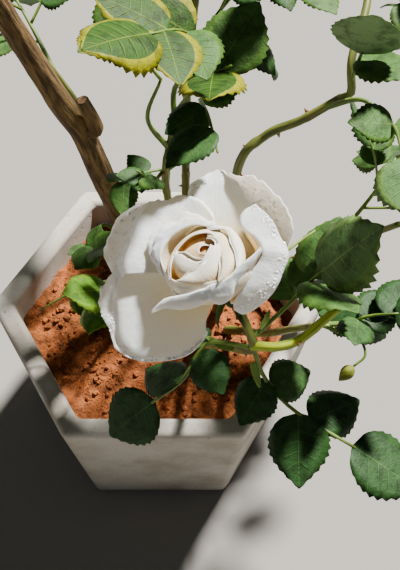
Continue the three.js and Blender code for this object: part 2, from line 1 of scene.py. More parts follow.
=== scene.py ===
"""A young white rose bush in its hexagonal cement pot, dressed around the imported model.

Lengths in this file are millimetres, as a grower would measure them, and meshes are scaled to
metres as they become pieces. +Z is up, and the origin is the centre of the pot's underside.
"""

import math
import random

import bmesh
import bpy
from mathutils import Matrix, Vector, noise


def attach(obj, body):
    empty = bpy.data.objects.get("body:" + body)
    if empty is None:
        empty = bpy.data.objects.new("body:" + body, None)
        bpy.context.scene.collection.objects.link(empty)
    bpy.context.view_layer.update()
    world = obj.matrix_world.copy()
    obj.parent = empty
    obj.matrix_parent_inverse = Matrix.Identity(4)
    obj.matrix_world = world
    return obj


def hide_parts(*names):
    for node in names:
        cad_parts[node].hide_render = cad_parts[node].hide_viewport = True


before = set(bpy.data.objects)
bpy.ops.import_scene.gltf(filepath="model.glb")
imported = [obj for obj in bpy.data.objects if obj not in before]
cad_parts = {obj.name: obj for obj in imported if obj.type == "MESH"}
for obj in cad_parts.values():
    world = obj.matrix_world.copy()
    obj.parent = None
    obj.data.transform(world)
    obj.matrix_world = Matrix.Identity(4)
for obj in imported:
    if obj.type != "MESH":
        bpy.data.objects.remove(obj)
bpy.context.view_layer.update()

MM = 0.001
UP = Vector((0, 0, 1))

# Pot and soil: radii are taken over the corners of the hexagon
CORNERS = 6
RIM_RADIUS = 125
FOOT_RADIUS = 104
POT_HEIGHT = 150
WALL = 15
FLOOR = 16
SOIL_TOP = 131
SOIL_FALL = 4
SOIL_FLAT_RADIUS = 68
GAP = 0.3
POT_EDGE = 4.5

# How far a hexagon's sides lie from its middle as a share of its corners' distance, the wall's thickness
# measured over a corner, and the ways that the six walls face
FLAT = math.cos(math.pi / CORNERS)
WALL_AT_CORNER = WALL / FLAT
WALL_TURNS = [math.radians(30 + 60 * i) for i in range(CORNERS)]

# Where the flower stem forks, where the hip sits, and the way the bloom faces
FORK = Vector((60, -132, 320))
HIP = Vector((49, -121, 348))
BLOOM_AXIS = Vector((-0.322, 0.043, 0.945)).normalized()
HIP_BELOW = 4
HIP_ABOVE = 7.7
BLOOM_SEAT = 8
NECK = 9
CANE_NECK = HIP - BLOOM_AXIS * (HIP_BELOW + NECK)
CANE_TOP = HIP - BLOOM_AXIS * (HIP_BELOW + GAP)
BLOOM_SIDE = Vector((0, 1, 0)).cross(BLOOM_AXIS).normalized()
BLOOM_BACK = BLOOM_AXIS.cross(BLOOM_SIDE)

# Leaves: a stalk with two pairs of leaflets and one at its end
LEAFLET_WIDTH = 0.8
LEAFLET_FOLD = 0.16
LEAFLET_DROOP = 0.12
LEAFLET_TILT = 0.7
LEAFLET_ROOT = 0.5
TIP_LEAFLET_ROOT = 2.5
PAIRS = [
    {"at": 0.4, "size": 0.8, "spread": 66},
    {"at": 0.74, "size": 0.94, "spread": 58},
]
STAGGER = 0.035
STALK_REACH = (1.55, 1.85)
STALK_AHEAD = 0.55
STALK_LIFT = 0.25
STALK_SAG = 0.22
STALK_RADII = (1.15, 0.6)
STEM_RADIUS = 1.9
SPRAY_STEM_RADIUS = 1.4
TWIG_TIP_RADIUS = 0.88
TURN = math.radians(137.5)
FIRST_LEAF = 0.25
UPWARDS = Vector((0.31, 0.12, 0.94))
OWN_SPACE_MARGIN = 1.2
LIMB_CLEARANCE = 1.5
POT_CLEARANCE = 10


def mix(a, b, share):
    return a + (b - a) * share


def clamp(value):
    """The value, held between 0 and 1."""
    return max(0.0, min(1.0, value))


def smooth(value, low, high):
    """A soft step from 0 at low to 1 at high."""
    share = clamp((value - low) / (high - low))
    return share * share * (3 - 2 * share)


def srgb(*levels):
    """A colour given in the 0 to 255 levels of a picture, as the linear colour that shaders take."""
    return tuple(((level / 255 + 0.055) / 1.055) ** 2.4 for level in levels)


def wander(point, size, seed):
    """Smooth noise from -1 to 1 that changes over about size."""
    return noise.noise(Vector(point) / size + Vector((seed, seed * 1.7, seed * 2.3)))


# Materials

class Wire:
    """An output socket that takes part in sums: the nodes are added as the sum is written."""

    def __init__(self, paint, socket):
        self.paint = paint
        self.socket = socket

    def math(self, operation, first, second):
        return self.paint.node("Math", {"operation": operation}, {0: first, 1: second})

    def __add__(self, other):
        return self.math("ADD", self, other)

    def __radd__(self, other):
        return self.math("ADD", other, self)

    def __sub__(self, other):
        return self.math("SUBTRACT", self, other)

    def __rsub__(self, other):
        return self.math("SUBTRACT", other, self)

    def __mul__(self, other):
        return self.math("MULTIPLY", self, other)

    def __rmul__(self, other):
        return self.math("MULTIPLY", other, self)


class Paint:
    """A material whose Principled shader is fed by nodes."""

    def __init__(self, name, **constants):
        self.material = bpy.data.materials.new(name)
        self.material.use_nodes = True
        self.tree = self.material.node_tree
        self.shader = self.tree.nodes["Principled BSDF"]
        self.set(**constants)

    def set(self, **values):
        """Feeds the shader's sockets, whose names are written with _ for a space."""
        for name, value in values.items():
            self.feed(self.shader.inputs[name.replace("_", " ")], value)

    def feed(self, socket, value):
        if isinstance(value, Wire):
            self.tree.links.new(value.socket, socket)
        elif isinstance(value, tuple) and len(socket.default_value) == 4:
            socket.default_value = (*value, 1)
        else:
            socket.default_value = value

    def node(self, kind, settings=None, inputs=None, output=0):
        """Any node: its type, its settings, which are set first, and what its sockets hold."""
        made = self.tree.nodes.new("ShaderNode" + kind)
        for name, value in (settings or {}).items():
            if name == "stops":
                self.set_stops(made.color_ramp, value)
            else:
                setattr(made, name, value)
        for key, value in (inputs or {}).items():
            self.feed(made.inputs[key], value)
        return Wire(self, made.outputs[output])

    def set_stops(self, ramp, stops):
        while len(ramp.elements) < len(stops):
            ramp.elements.new(1)
        for element, (position, colour) in zip(ramp.elements, stops):
            element.position = position
            element.color = (*colour, 1)

    def place(self, scale, stretch, attribute):
        """The object's own coordinates, or an attribute's, in steps of scale millimetres, stretched."""
        if attribute:
            coordinates = self.node("Attribute", {"attribute_name": attribute}, output="Vector")
        else:
            coordinates = self.node("TexCoord", output="Object")
        return self.node("Mapping", {}, {
            "Vector": coordinates,
            "Scale": tuple(side / (scale * MM) for side in stretch),
        })

    def noise(self, scale, detail=4, roughness=0.55, stretch=(1, 1, 1), attribute=None):
        """Noise whose largest spots are about scale millimetres wide."""
        return self.node("TexNoise", {}, {
            "Vector": self.place(scale, stretch, attribute),
            "Scale": 1,
            "Detail": detail,
            "Roughness": roughness,
        })

    def grade(self, value, low, high):
        """0 where value is low or less, 1 where it is high or more."""
        return self.node("MapRange", {"interpolation_type": "SMOOTHSTEP"}, {
            "Value": value,
            "From Min": low,
            "From Max": high,
        })

    def blend(self, first, second, factor):
        return self.node("Mix", {"data_type": "RGBA"}, {0: factor, 6: first, 7: second}, output=2)

    def bump(self, height, distance):
        """Relief of distance millimetres where height goes from 0 to 1."""
        return self.node("Bump", {}, {"Height": height, "Distance": distance * MM})


def cement_paint():
    """Matt off-white paint on cast cement, dusty, with a few worn pits."""
    paint = Paint("painted_cement", Specular_IOR_Level=0.25)
    clouds = paint.noise(48, 6, 0.6)
    grain = paint.noise(2.2, 6)
    pits = paint.noise(5, 3)
    dust = paint.blend(srgb(192, 187, 176), srgb(162, 153, 140), paint.grade(clouds, 0.36, 0.7))
    speckled = paint.blend(dust, srgb(142, 130, 114), paint.grade(grain, 0.52, 0.8) * 0.6)
    worn = paint.blend(speckled, srgb(126, 116, 102), paint.grade(pits, 0.7, 0.76) * 0.6)
    paint.set(
        Base_Color=worn,
        Roughness=0.7 + clouds * 0.2,
        Normal=paint.bump(grain * 0.4 + paint.grade(pits, 0.74, 0.66), 0.4),
    )
    return paint.material


def soil_paint(name, light, dark):
    """Moist earth, lighter on its lumps and darker between them as painted shade of the hollows, with paler
    grit.
    """
    paint = Paint(name, Specular_IOR_Level=0.15)
    lumps = paint.noise(9, 9, 0.7)
    grit = paint.noise(1.5, 5)
    # The darker colour between the lumps is painted shade of the hollows, not a colour of the earth itself.
    colour = paint.blend(dark, light, paint.grade(lumps, 0.32, 0.64))
    speckled = paint.blend(colour, srgb(190, 132, 90), paint.grade(grit, 0.6, 0.74) * 0.5)
    paint.set(
        Base_Color=speckled,
        Roughness=0.84 + grit * 0.16,
        Normal=paint.bump(grit + lumps, 2.2),
    )
    return paint.material


def bark_paint():
    """Golden-brown bark with fine dark fissures that run along the trunk."""
    paint = Paint("bark", Specular_IOR_Level=0.25)
    ridges = paint.noise(2.4, 6, 0.6, (1, 1, 0.14), "straight")
    flakes = paint.noise(9, 6, 0.62, (1, 1, 0.3), "straight")
    brown = paint.blend(srgb(90, 70, 42), srgb(142, 114, 72), paint.grade(flakes, 0.34, 0.68))
    cracked = paint.blend(srgb(70, 53, 33), brown, paint.grade(ridges, 0.36, 0.54))
    greened = paint.blend(cracked, srgb(108, 102, 52), paint.grade(paint.noise(30, 4), 0.5, 0.72) * 0.5)
    paint.set(
        Base_Color=greened,
        Roughness=0.62 + ridges * 0.3,
        Normal=paint.bump(paint.grade(ridges, 0.3, 0.62), 0.6),
    )
    return paint.material


def cane_paint(name, green, shade, tan):
    """Smooth green stem, with streaks along it and tanned in patches."""
    paint = Paint(name, Specular_IOR_Level=0.4)
    streaks = paint.noise(2, 4, 0.55, (1, 1, 0.08), "straight")
    patches = paint.noise(9, 5, 0.6, (1, 1, 0.5), "straight")
    body = paint.blend(shade, green, paint.grade(streaks, 0.34, 0.6))
    tanned = paint.blend(body, tan, paint.grade(patches, 0.54, 0.7) * 0.6)
    paint.set(
        Base_Color=tanned,
        Roughness=0.38 + streaks * 0.2,
        Normal=paint.bump(streaks, 0.2),
    )
    return paint.material


def leaf_paint(name, colour, gloss=0.46, blotch=0.5):
    """One green of leaf, mottled a little darker, with the fine grain of its skin."""
    paint = Paint(name, Specular_IOR_Level=0.14)
    skin = paint.noise(1.3, 3)
    mottle = paint.noise(8, 5, 0.6)
    darker = tuple(level * (1 - blotch) for level in colour)
    paint.set(
        Base_Color=paint.blend(colour, darker, paint.grade(mottle, 0.44, 0.66)),
        Roughness=gloss + mottle * 0.14,
        Normal=paint.bump(skin + mottle * 2, 0.3),
    )
    return paint.material


def petal_paint(name, attribute, glow):
    """Creamy white petal, apricot towards the heart, with fine streaks from claw to rim."""
    paint = Paint(
        name,
        Specular_IOR_Level=0.25,
        Subsurface_Weight=glow,
        Subsurface_Radius=(1.0, 0.8, 0.6),
        Subsurface_Scale=4 * MM,
    )
    heart = paint.node("Attribute", {"attribute_name": attribute}, output="Fac")
    across = paint.node("UVMap", {"uv_map": "petal"})
    streaks = paint.node("TexNoise", {}, {
        "Vector": paint.node("Mapping", {}, {"Vector": across, "Scale": (56, 2.5, 1)}),
        "Scale": 1,
        "Detail": 3,
    })
    mottle = paint.noise(6, 5, 0.6)
    warmth = heart + (mottle - 0.5) * 0.1
    colour = paint.node("ValToRGB", {"stops": [
        (0.0, srgb(233, 231, 223)),
        (0.25, srgb(234, 224, 200)),
        (0.55, srgb(236, 202, 146)),
        (0.8, srgb(224, 156, 82)),
        (1.0, srgb(176, 84, 28)),
    ]}, {"Fac": warmth})
    paint.set(
        Base_Color=colour,
        Roughness=0.5 + streaks * 0.16,
        Normal=paint.bump(streaks * 0.5 + mottle, 0.5),
    )
    return paint.material


def flecked_paint(name, colour, fleck, scale, band, roughness, relief, specular):
    """A colour with soft flecks of another in it, where a fine noise rises through a band."""
    paint = Paint(name, Specular_IOR_Level=specular)
    flecks = paint.noise(scale)
    paint.set(
        Base_Color=paint.blend(colour, fleck, paint.grade(flecks, *band)),
        Roughness=roughness + flecks * 0.2,
        Normal=paint.bump(flecks, relief),
    )
    return paint.material


def dew_paint():
    """Clear drops of water, painted white all over as a painted glint, with a faint bluish haze."""
    paint = Paint("dew_painted_glint", Specular_IOR_Level=0.9)
    haze = paint.noise(1.5, 2)
    paint.set(
        # The white base colour is a painted glint: clear water has no white colour of its own.
        Base_Color=paint.blend(srgb(250, 250, 250), srgb(236, 240, 244), haze),
        Roughness=0.05 + haze * 0.08,
    )
    return paint.material


PAINTS = {
    "cement": cement_paint(),
    # Each soil's second colour is painted shade for the hollows between its lumps.
    "soil": soil_paint("soil", srgb(172, 98, 52), srgb(92, 52, 28)),
    "crumb": soil_paint("soil_crumb", srgb(184, 108, 58), srgb(104, 60, 34)),
    "bark": bark_paint(),
    "cane": cane_paint("cane", srgb(112, 118, 48), srgb(60, 72, 26), srgb(122, 96, 56)),
    "shoot": cane_paint("young_shoot", srgb(164, 182, 34), srgb(96, 122, 16), srgb(54, 76, 18)),
    "cut": flecked_paint(
        "cut_wood", srgb(222, 178, 142), srgb(176, 118, 84),
        scale=1.2, band=(0.4, 0.7), roughness=0.6, relief=0.2, specular=0.3,
    ),
    "stalk": cane_paint("leaf_stalk", srgb(110, 136, 48), srgb(70, 96, 30), srgb(126, 98, 58)),
    "petal": petal_paint("petal", "heart", 0.22),
    "petal_within": petal_paint("petal_within", "heart_within", 0.8),
    "dew_painted_glint": dew_paint(),
    "sepal": leaf_paint("sepal", srgb(56, 76, 34), 0.5),
    "sepal_tip": leaf_paint("sepal_tip", srgb(158, 180, 96), 0.5),
    "stipule": leaf_paint("stipule", srgb(138, 168, 84), 0.4, 0.2),
    "bud": leaf_paint("bud", srgb(108, 116, 34), 0.45),
    "prickle": flecked_paint(
        "prickle", srgb(132, 74, 52), srgb(164, 116, 74),
        scale=1.4, band=(0.4, 0.65), roughness=0.35, relief=0.1, specular=0.4,
    ),
}

# Tones of leaf: skin, edge, underside and veins
LEAF_TONES = {
    "deep": (srgb(42, 72, 36), srgb(36, 66, 28), srgb(70, 98, 58), srgb(66, 98, 50)),
    "dark": (srgb(54, 86, 42), srgb(48, 82, 34), srgb(84, 112, 68), srgb(80, 112, 56)),
    "mid": (srgb(68, 102, 48), srgb(72, 106, 40), srgb(96, 126, 74), srgb(96, 130, 62)),
    # The pale tone's lighter grey-green is painted sheen: a lit copy of the leaf green.
    "pale": (srgb(82, 114, 66), srgb(92, 122, 60), srgb(108, 136, 90), srgb(112, 144, 88)),
    "bright": (srgb(88, 132, 32), srgb(112, 150, 34), srgb(116, 148, 62), srgb(130, 166, 56)),
    "edged": (srgb(46, 76, 22), srgb(130, 130, 8), srgb(96, 114, 40), srgb(90, 112, 30)),
}

# A shoot's tone goes to most of its leaves, and the next one to the others
NEXT_TONE = {"deep": "dark", "dark": "mid", "mid": "dark", "pale": "mid", "bright": "pale", "edged": "mid"}
OWN_TONE_SHARE = 0.7


# Lines

class Line:
    """A smooth line through a few points, as a uniform Catmull-Rom spline."""

    MEASURES = 200
    SAMPLES = 8

    def __init__(self, points):
        self.points = [Vector(point) for point in points]
        lengths = [0.0]
        before = self.points[0]
        for i in range(1, self.MEASURES + 1):
            here = self.point(i / self.MEASURES)
            lengths.append(lengths[-1] + (here - before).length)
            before = here
        self.lengths = lengths

    def point(self, t):
        """The point at t, which goes from 0 to 1 in equal steps from each given point to the next."""
        spans = len(self.points) - 1
        i = min(int(t * spans), spans - 1)
        share = t * spans - i
        start, end = self.points[i], self.points[i + 1]
        before = self.points[i - 1] if i > 0 else start * 2 - end
        after = self.points[i + 2] if i + 2 <= spans else end * 2 - start
        leave = (end - before) / 2
        arrive = (after - start) / 2
        square = share * share
        cube = square * share
        return (
            start * (2 * cube - 3 * square + 1)
            + end * (3 * square - 2 * cube)
            + leave * (cube - 2 * square + share)
            + arrive * (cube - square)
        )

    def at_length(self, share):
        """The spline's own value at a share of the line's length."""
        target = share * self.lengths[-1]
        i = 0
        while i < self.MEASURES - 1 and self.lengths[i + 1] < target:
            i += 1
        step = self.lengths[i + 1] - self.lengths[i]
        return (i + (target - self.lengths[i]) / max(step, 1e-9)) / self.MEASURES

    def direction(self, t):
        """The way that the line runs at t."""
        step = 0.001
        return (self.point(min(1, t + step)) - self.point(max(0, t - step))).normalized()

    def sampled(self):
        """A few points spread along the line, from which distances to it are measured."""
        return [self.point(i / self.SAMPLES) for i in range(self.SAMPLES + 1)]


# Shapes and pieces

def grid(columns, rows):
    """A flat grid from -1 to 1 both ways."""
    bm = bmesh.new()
    bmesh.ops.create_grid(bm, x_segments=columns, y_segments=rows, size=1)
    return bm


def turned(profile, steps):
    """A closed shape spun round +Z from its outline, which is given as radii and heights."""
    bm = bmesh.new()
    verts = [bm.verts.new((radius, 0, height)) for radius, height in profile]
    edges = [bm.edges.new(pair) for pair in zip(verts, verts[1:])]
    bmesh.ops.spin(
        bm, geom=verts + edges, cent=(0, 0, 0), axis=UP, angle=math.tau, steps=steps, use_merge=True,
    )
    bmesh.ops.remove_doubles(bm, verts=bm.verts, dist=0.01)
    bmesh.ops.recalc_face_normals(bm, faces=bm.faces)
    return bm


def tube(line, radius_at, sides, rings, relief=None, ends=(0, 0)):
    """A closed round tube along a line. Relief adds to the radius, and ends lengthen it both ways.

    Each corner also holds its place on the tube as if the line were straight, for the paints.
    """
    bm = bmesh.new()
    bmesh.ops.create_cone(bm, cap_ends=True, segments=sides, radius1=1, radius2=1, depth=2)
    uprights = [edge for edge in bm.edges if abs(edge.verts[0].co.z - edge.verts[1].co.z) > 1]
    if rings > 1:
        bmesh.ops.subdivide_edges(bm, edges=uprights, cuts=rings - 1)
    straight = bm.verts.layers.float_vector.new("straight")
    length = line.lengths[-1]
    hoops = []
    side = line.direction(0).orthogonal().normalized()
    for i in range(rings + 1):
        t = line.at_length(i / rings)
        ahead = line.direction(t)
        side = (side - ahead * side.dot(ahead)).normalized()
        centre = line.point(t)
        if i == 0:
            centre = centre - ahead * ends[0]
        if i == rings:
            centre = centre + ahead * ends[1]
        hoops.append((centre, side, ahead.cross(side)))
    for vert in bm.verts:
        share = (vert.co.z + 1) / 2
        centre, side, lift = hoops[round(share * rings)]
        outwards = (side * vert.co.x + lift * vert.co.y).normalized()
        radius = radius_at(share)
        place = Vector((vert.co.x * radius, vert.co.y * radius, share * length))
        vert[straight] = place * MM
        if relief:
            radius += relief(place, share)
        vert.co = centre + outwards * radius
    return bm


class Joined:
    """One mesh that many small shapes are joined into."""

    def __init__(self):
        self.bm = bmesh.new()
        self.scratch = bpy.data.meshes.new("scratch")

    def add(self, shape, place=None, paint=None):
        """Copies a shape, with each corner put by place and each face painted by paint."""
        part = shape.copy()
        if place:
            for vert in part.verts:
                vert.co = place(*vert.co)
        if paint:
            for face in part.faces:
                face.material_index = paint(face.material_index)
        part.to_mesh(self.scratch)
        part.free()
        self.bm.from_mesh(self.scratch)


def make_piece(name, bm, paints, replaced=(), smooth_faces=True):
    """Turns a mesh in millimetres into a piece in metres that rides with the plant."""
    bmesh.ops.scale(bm, vec=(MM, MM, MM), verts=bm.verts)
    mesh = bpy.data.meshes.new(name)
    bm.to_mesh(mesh)
    bm.free()
    for material in paints:
        mesh.materials.append(material)
    mesh.polygons.foreach_set("use_smooth", [smooth_faces] * len(mesh.polygons))
    piece = bpy.data.objects.new(name, mesh)
    bpy.context.scene.collection.objects.link(piece)
    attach(piece, "root")
    if replaced:
        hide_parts(*replaced)
    return piece


def thicken(piece, thickness, **settings):
    """Gives a sheet its thickness in millimetres, half of it to each side."""
    shell = piece.modifiers.new("thickness", "SOLIDIFY")
    shell.thickness = thickness * MM
    shell.offset = 0
    for setting, value in settings.items():
        setattr(shell, setting, value)


# Pot

def outer_radius(height):
    """The outside of the pot's wall at a height, over its corners."""
    return mix(FOOT_RADIUS, RIM_RADIUS, height / POT_HEIGHT)


def inner_radius(height):
    """The inside of the pot's wall at a height, over its corners."""
    return outer_radius(height) - WALL_AT_CORNER


def make_pot():
    """The hexagonal pot, with softened corners and a rounded rim."""
    profile = [
        (0, 0),
        (FOOT_RADIUS, 0),
        (RIM_RADIUS, POT_HEIGHT),
        (inner_radius(POT_HEIGHT), POT_HEIGHT),
        (inner_radius(FLOOR), FLOOR),
        (0, FLOOR),
    ]
    bm = turned(profile, CORNERS)
    sharp = [edge for edge in bm.edges if edge.calc_face_angle(0) > math.radians(20)]
    bmesh.ops.bevel(
        bm, geom=sharp, offset=POT_EDGE, segments=4, affect="EDGES", profile=0.5, material=-1,
        clamp_overlap=True,
    )
    piece = make_piece("pot_cast", bm, [PAINTS["cement"]], ["pot"])
    piece.modifiers.new("flat_walls", "WEIGHTED_NORMAL").keep_sharp = True


# Soil

SOIL_GRAIN = 120
SOIL_SKIRT = 12
SOIL_TAPER = 0.98
CRUMBS = 1000
CRUMB_SIZES = (0.8, 3.8)
CRUMB_CLEARANCE = 4
CRUMB_SEED = 11


def soil_height(x, y):
    """The lumpy top of the soil, level round the stems and a little lower along the wall."""
    out = max(x * math.cos(turn) + y * math.sin(turn) for turn in WALL_TURNS) / FLAT
    fall = SOIL_FALL * smooth(out, SOIL_FLAT_RADIUS, inner_radius(SOIL_TOP))
    place = (x, y, 0)
    lumps = 2.2 * wander(place, 17, 3) + 2.2 * wander(place, 6.5, 8) + 1.1 * wander(place, 3.2, 5)
    return SOIL_TOP - fall + lumps


def make_soil():
    """A fine sheet cut to the hexagon inside the wall, with a skirt that closes it below."""
    reach = inner_radius(SOIL_TOP) + 2
    bm = grid(SOIL_GRAIN, SOIL_GRAIN)
    for vert in bm.verts:
        vert.co *= reach
    inside = inner_radius(SOIL_TOP) * FLAT - GAP
    for turn in WALL_TURNS:
        outwards = Vector((math.cos(turn), math.sin(turn), 0))
        geometry = bm.verts[:] + bm.edges[:] + bm.faces[:]
        bmesh.ops.bisect_plane(
            bm, geom=geometry, plane_co=outwards * inside, plane_no=outwards, clear_outer=True,
        )
    for vert in bm.verts:
        vert.co.z = soil_height(vert.co.x, vert.co.y)
    rim = [edge for edge in bm.edges if edge.is_boundary]
    grown = bmesh.ops.extrude_edge_only(bm, edges=rim)["geom"]
    for vert in grown:
        if isinstance(vert, bmesh.types.BMVert):
            vert.co.z = SOIL_TOP - SOIL_SKIRT
            vert.co.x *= SOIL_TAPER
            vert.co.y *= SOIL_TAPER
    bmesh.ops.holes_fill(bm, edges=[edge for edge in bm.edges if edge.is_boundary], sides=0)
    bmesh.ops.recalc_face_normals(bm, faces=bm.faces)
    make_piece("soil_top", bm, [PAINTS["soil"]], ["soil"])


def make_crumbs():
    """Loose crumbs and small stones on the soil."""
    draw = random.Random(CRUMB_SEED)
    crumb = bmesh.new()
    bmesh.ops.create_icosphere(crumb, subdivisions=1, radius=1)
    heap = Joined()
    limit = inner_radius(SOIL_TOP) * FLAT - CRUMB_CLEARANCE
    for _ in range(CRUMBS):
        turn = draw.random() * math.tau
        out = limit * math.sqrt(draw.random())
        size = mix(*CRUMB_SIZES, draw.random() ** 2.6)
        x, y = out * math.cos(turn), out * math.sin(turn)
        centre = Vector((x, y, soil_height(x, y) + size * 0.25))
        spin = Matrix.Rotation(draw.random() * math.tau, 3, Vector((draw.random(), draw.random(), 1)))
        squash = Vector((1, mix(0.6, 1, draw.random()), mix(0.5, 0.9, draw.random())))
        rough = draw.random() * 50

        def place(a, b, c):
            corner = Vector((a * squash.x, b * squash.y, c * squash.z)) * size
            return centre + spin @ (corner * (1 + 0.28 * wander((a, b, c), 0.7, rough)))

        heap.add(crumb, place)
    make_piece("soil_crumbs", heap.bm, [PAINTS["crumb"]], smooth_faces=False)


# Limbs

STRAIGHT_RUN = 6
FLARE_FALL = 14
FOOT_SUNK = 6
BRANCH_SUNK = 1
NODE_GAP = 34
TRUNK_MESH = {"sides": 44, "rings": 150}
STUB_MESH = {"sides": 32, "rings": 24}
CANE_SIDES = 14
CANE_RING_GAP = 3
CANE_LEAST_RINGS = 12

LIMBS = {
    "trunk": {
        "foot": (0, 22), "radii": (8.8, 6.8), "flare": 5, "paint": "bark",
        "through": [(-31, 28, 257), (-42, 31, 304), (-54, 35, 328), (-76, 42, 384), (-88, 45, 418)],
    },
    "flower_cane": {
        "foot": (28, -26), "radii": (3.4, 2.3), "flare": 1.2,
        "through": [(44, -72, 215), (58, -118, 290), FORK, CANE_NECK, CANE_TOP],
    },
    "olive_cane": {
        "foot": (46, 4), "radii": (3.6, 2.4), "flare": 1.2,
        "through": [(50, -16, 230), (53, -34, 345), (67, -30, 368), (86, -31, 382), (104, -31, 398)],
    },
    "middle_cane": {
        "foot": (32, 24), "radii": (3.4, 2.3), "flare": 1,
        "through": [(18, 10, 220), (11, -6, 300), (17, -6, 350)],
    },
    "right_cane": {
        "foot": (54, -16), "radii": (3.2, 2.1), "flare": 1,
        "through": [(76, -52, 195), (88, -88, 262), (98, -108, 300)],
    },
    "back_cane": {
        "foot": (22, 50), "radii": (3.6, 2.3), "flare": 1,
        "through": [(22, 54, 230), (24, 62, 310), (30, 84, 372)],
    },
    "back_left_cane": {
        "foot": (-16, 54), "radii": (3.2, 2.2), "flare": 1,
        "through": [(-31, 66, 206), (-50, 74, 282), (-82, 84, 340)],
    },
    "side_cane": {
        "foot": (64, 14), "radii": (3.2, 2.1), "flare": 1,
        "through": [(96, 24, 168), (128, 2, 222), (158, -16, 270)],
    },
    "pruned_shoot": {
        "on": ("flower_cane", 0.667), "radii": (2.7, 2.4), "paint": "shoot",
        "through": [(72, -136, 326), (84, -134, 331), (101, -125, 345)],
    },
    "upper_bough": {
        "after": "trunk", "radii": (4.6, 2.6),
        "through": [(-100, 62, 440), (-98, 76, 456)],
    },
    "left_bough": {
        "on": ("trunk", 0.93), "radii": (3.6, 2.3),
        "through": [(-104, 24, 420), (-124, 12, 434)],
    },
    "high_right_bough": {
        "after": "olive_cane", "radii": (2.4, 2),
        "through": [(108, -22, 417), (117, 8, 428), (116, 36, 430)],
    },
}
STUB = {"at": 0.52, "through": [(-33, 29, 309), (-39, 30, 333)], "radii": (5.4, 3.8)}


def start_from(on=None, after=None):
    """Where a limb or shoot starts: in the middle of the limb that it leaves, or on from its end."""
    if on:
        limb, at = on
        return [LIMBS[limb]["line"].point(at)]
    before = LIMBS[after]["line"]
    ahead = before.direction(1)
    start = before.point(1) + ahead * GAP
    return [start, start + ahead * STRAIGHT_RUN]


for limb in LIMBS.values():
    if "foot" in limb:
        foot = Vector((*limb["foot"], SOIL_TOP + GAP))
        start = [foot, foot + UP * STRAIGHT_RUN]
    else:
        start = start_from(limb.get("on"), limb.get("after"))
    limb["line"] = Line([*start, *limb["through"]])


def limb_radius(limb, share):
    """A limb's radius at a share of its length, with the flare at its root."""
    thick, thin = limb["radii"]
    return mix(thick, thin, share) + limb.get("flare", 0) * math.exp(-share * FLARE_FALL)


def bark_relief(place, share):
    """Ridges and fissures that run along the trunk, and slow swellings."""
    stretched = Vector((place.x, place.y, place.z * 0.16))
    ridge = abs(wander(stretched, 3.6, 1)) * 2 - 0.5
    fine = wander(stretched, 1.5, 6)
    swell = wander(place, 30, 2)
    return -0.4 * ridge + 0.2 * fine + 0.5 * swell


def cane_relief(seed, length):
    """Low rings where leaves once grew, and a slightly uneven stem between them."""

    def relief(place, share):
        along = share * length / NODE_GAP + seed
        node = math.exp(-((along - round(along)) * NODE_GAP / 1.6) ** 2)
        return 0.35 * node + 0.16 * wander(place, 9, seed) - 0.1

    return relief


def cut_end(bm, end, bark_ring):
    """Marks a tube's flat end as cut wood inside a ring of bark, and rounds it over a little."""
    caps = [face for face in bm.faces if len(face.verts) > 4]
    cap = min(caps, key=lambda face: (face.calc_center_median() - end).length)
    bmesh.ops.inset_region(bm, faces=[cap], thickness=bark_ring, depth=0.25)
    cap.material_index = 1
    bmesh.ops.inset_region(bm, faces=[cap], thickness=bark_ring * 2, depth=0.1)


def make_limbs():
    """The trunk with the relief of its bark and its cut stub, and the smooth canes and boughs."""
    for number, (name, limb) in enumerate(LIMBS.items()):
        line = limb["line"]
        length = line.lengths[-1]
        ends = (FOOT_SUNK if "foot" in limb else BRANCH_SUNK, 0)

        def radius_at(share):
            return limb_radius(limb, share)

        if name == "trunk":
            stub_line = Line([line.point(STUB["at"]), *STUB["through"]])
            stub = tube(stub_line, lambda share: mix(*STUB["radii"], share), **STUB_MESH, relief=bark_relief)
            cut_end(stub, stub_line.point(1), 0.9)
            whole = Joined()
            whole.add(tube(line, radius_at, **TRUNK_MESH, relief=bark_relief, ends=ends))
            whole.add(stub)
            bm = whole.bm
        else:
            rings = max(CANE_LEAST_RINGS, round(length / CANE_RING_GAP))
            bm = tube(line, radius_at, CANE_SIDES, rings, cane_relief(number * 0.37, length), ends)
            if name == "pruned_shoot":
                cut_end(bm, line.point(1), 0.5)
        paint = limb.get("paint", "cane")
        make_piece(name + "_skin", bm, [PAINTS[paint], PAINTS["cut"]], [name])


# Leafy shoots

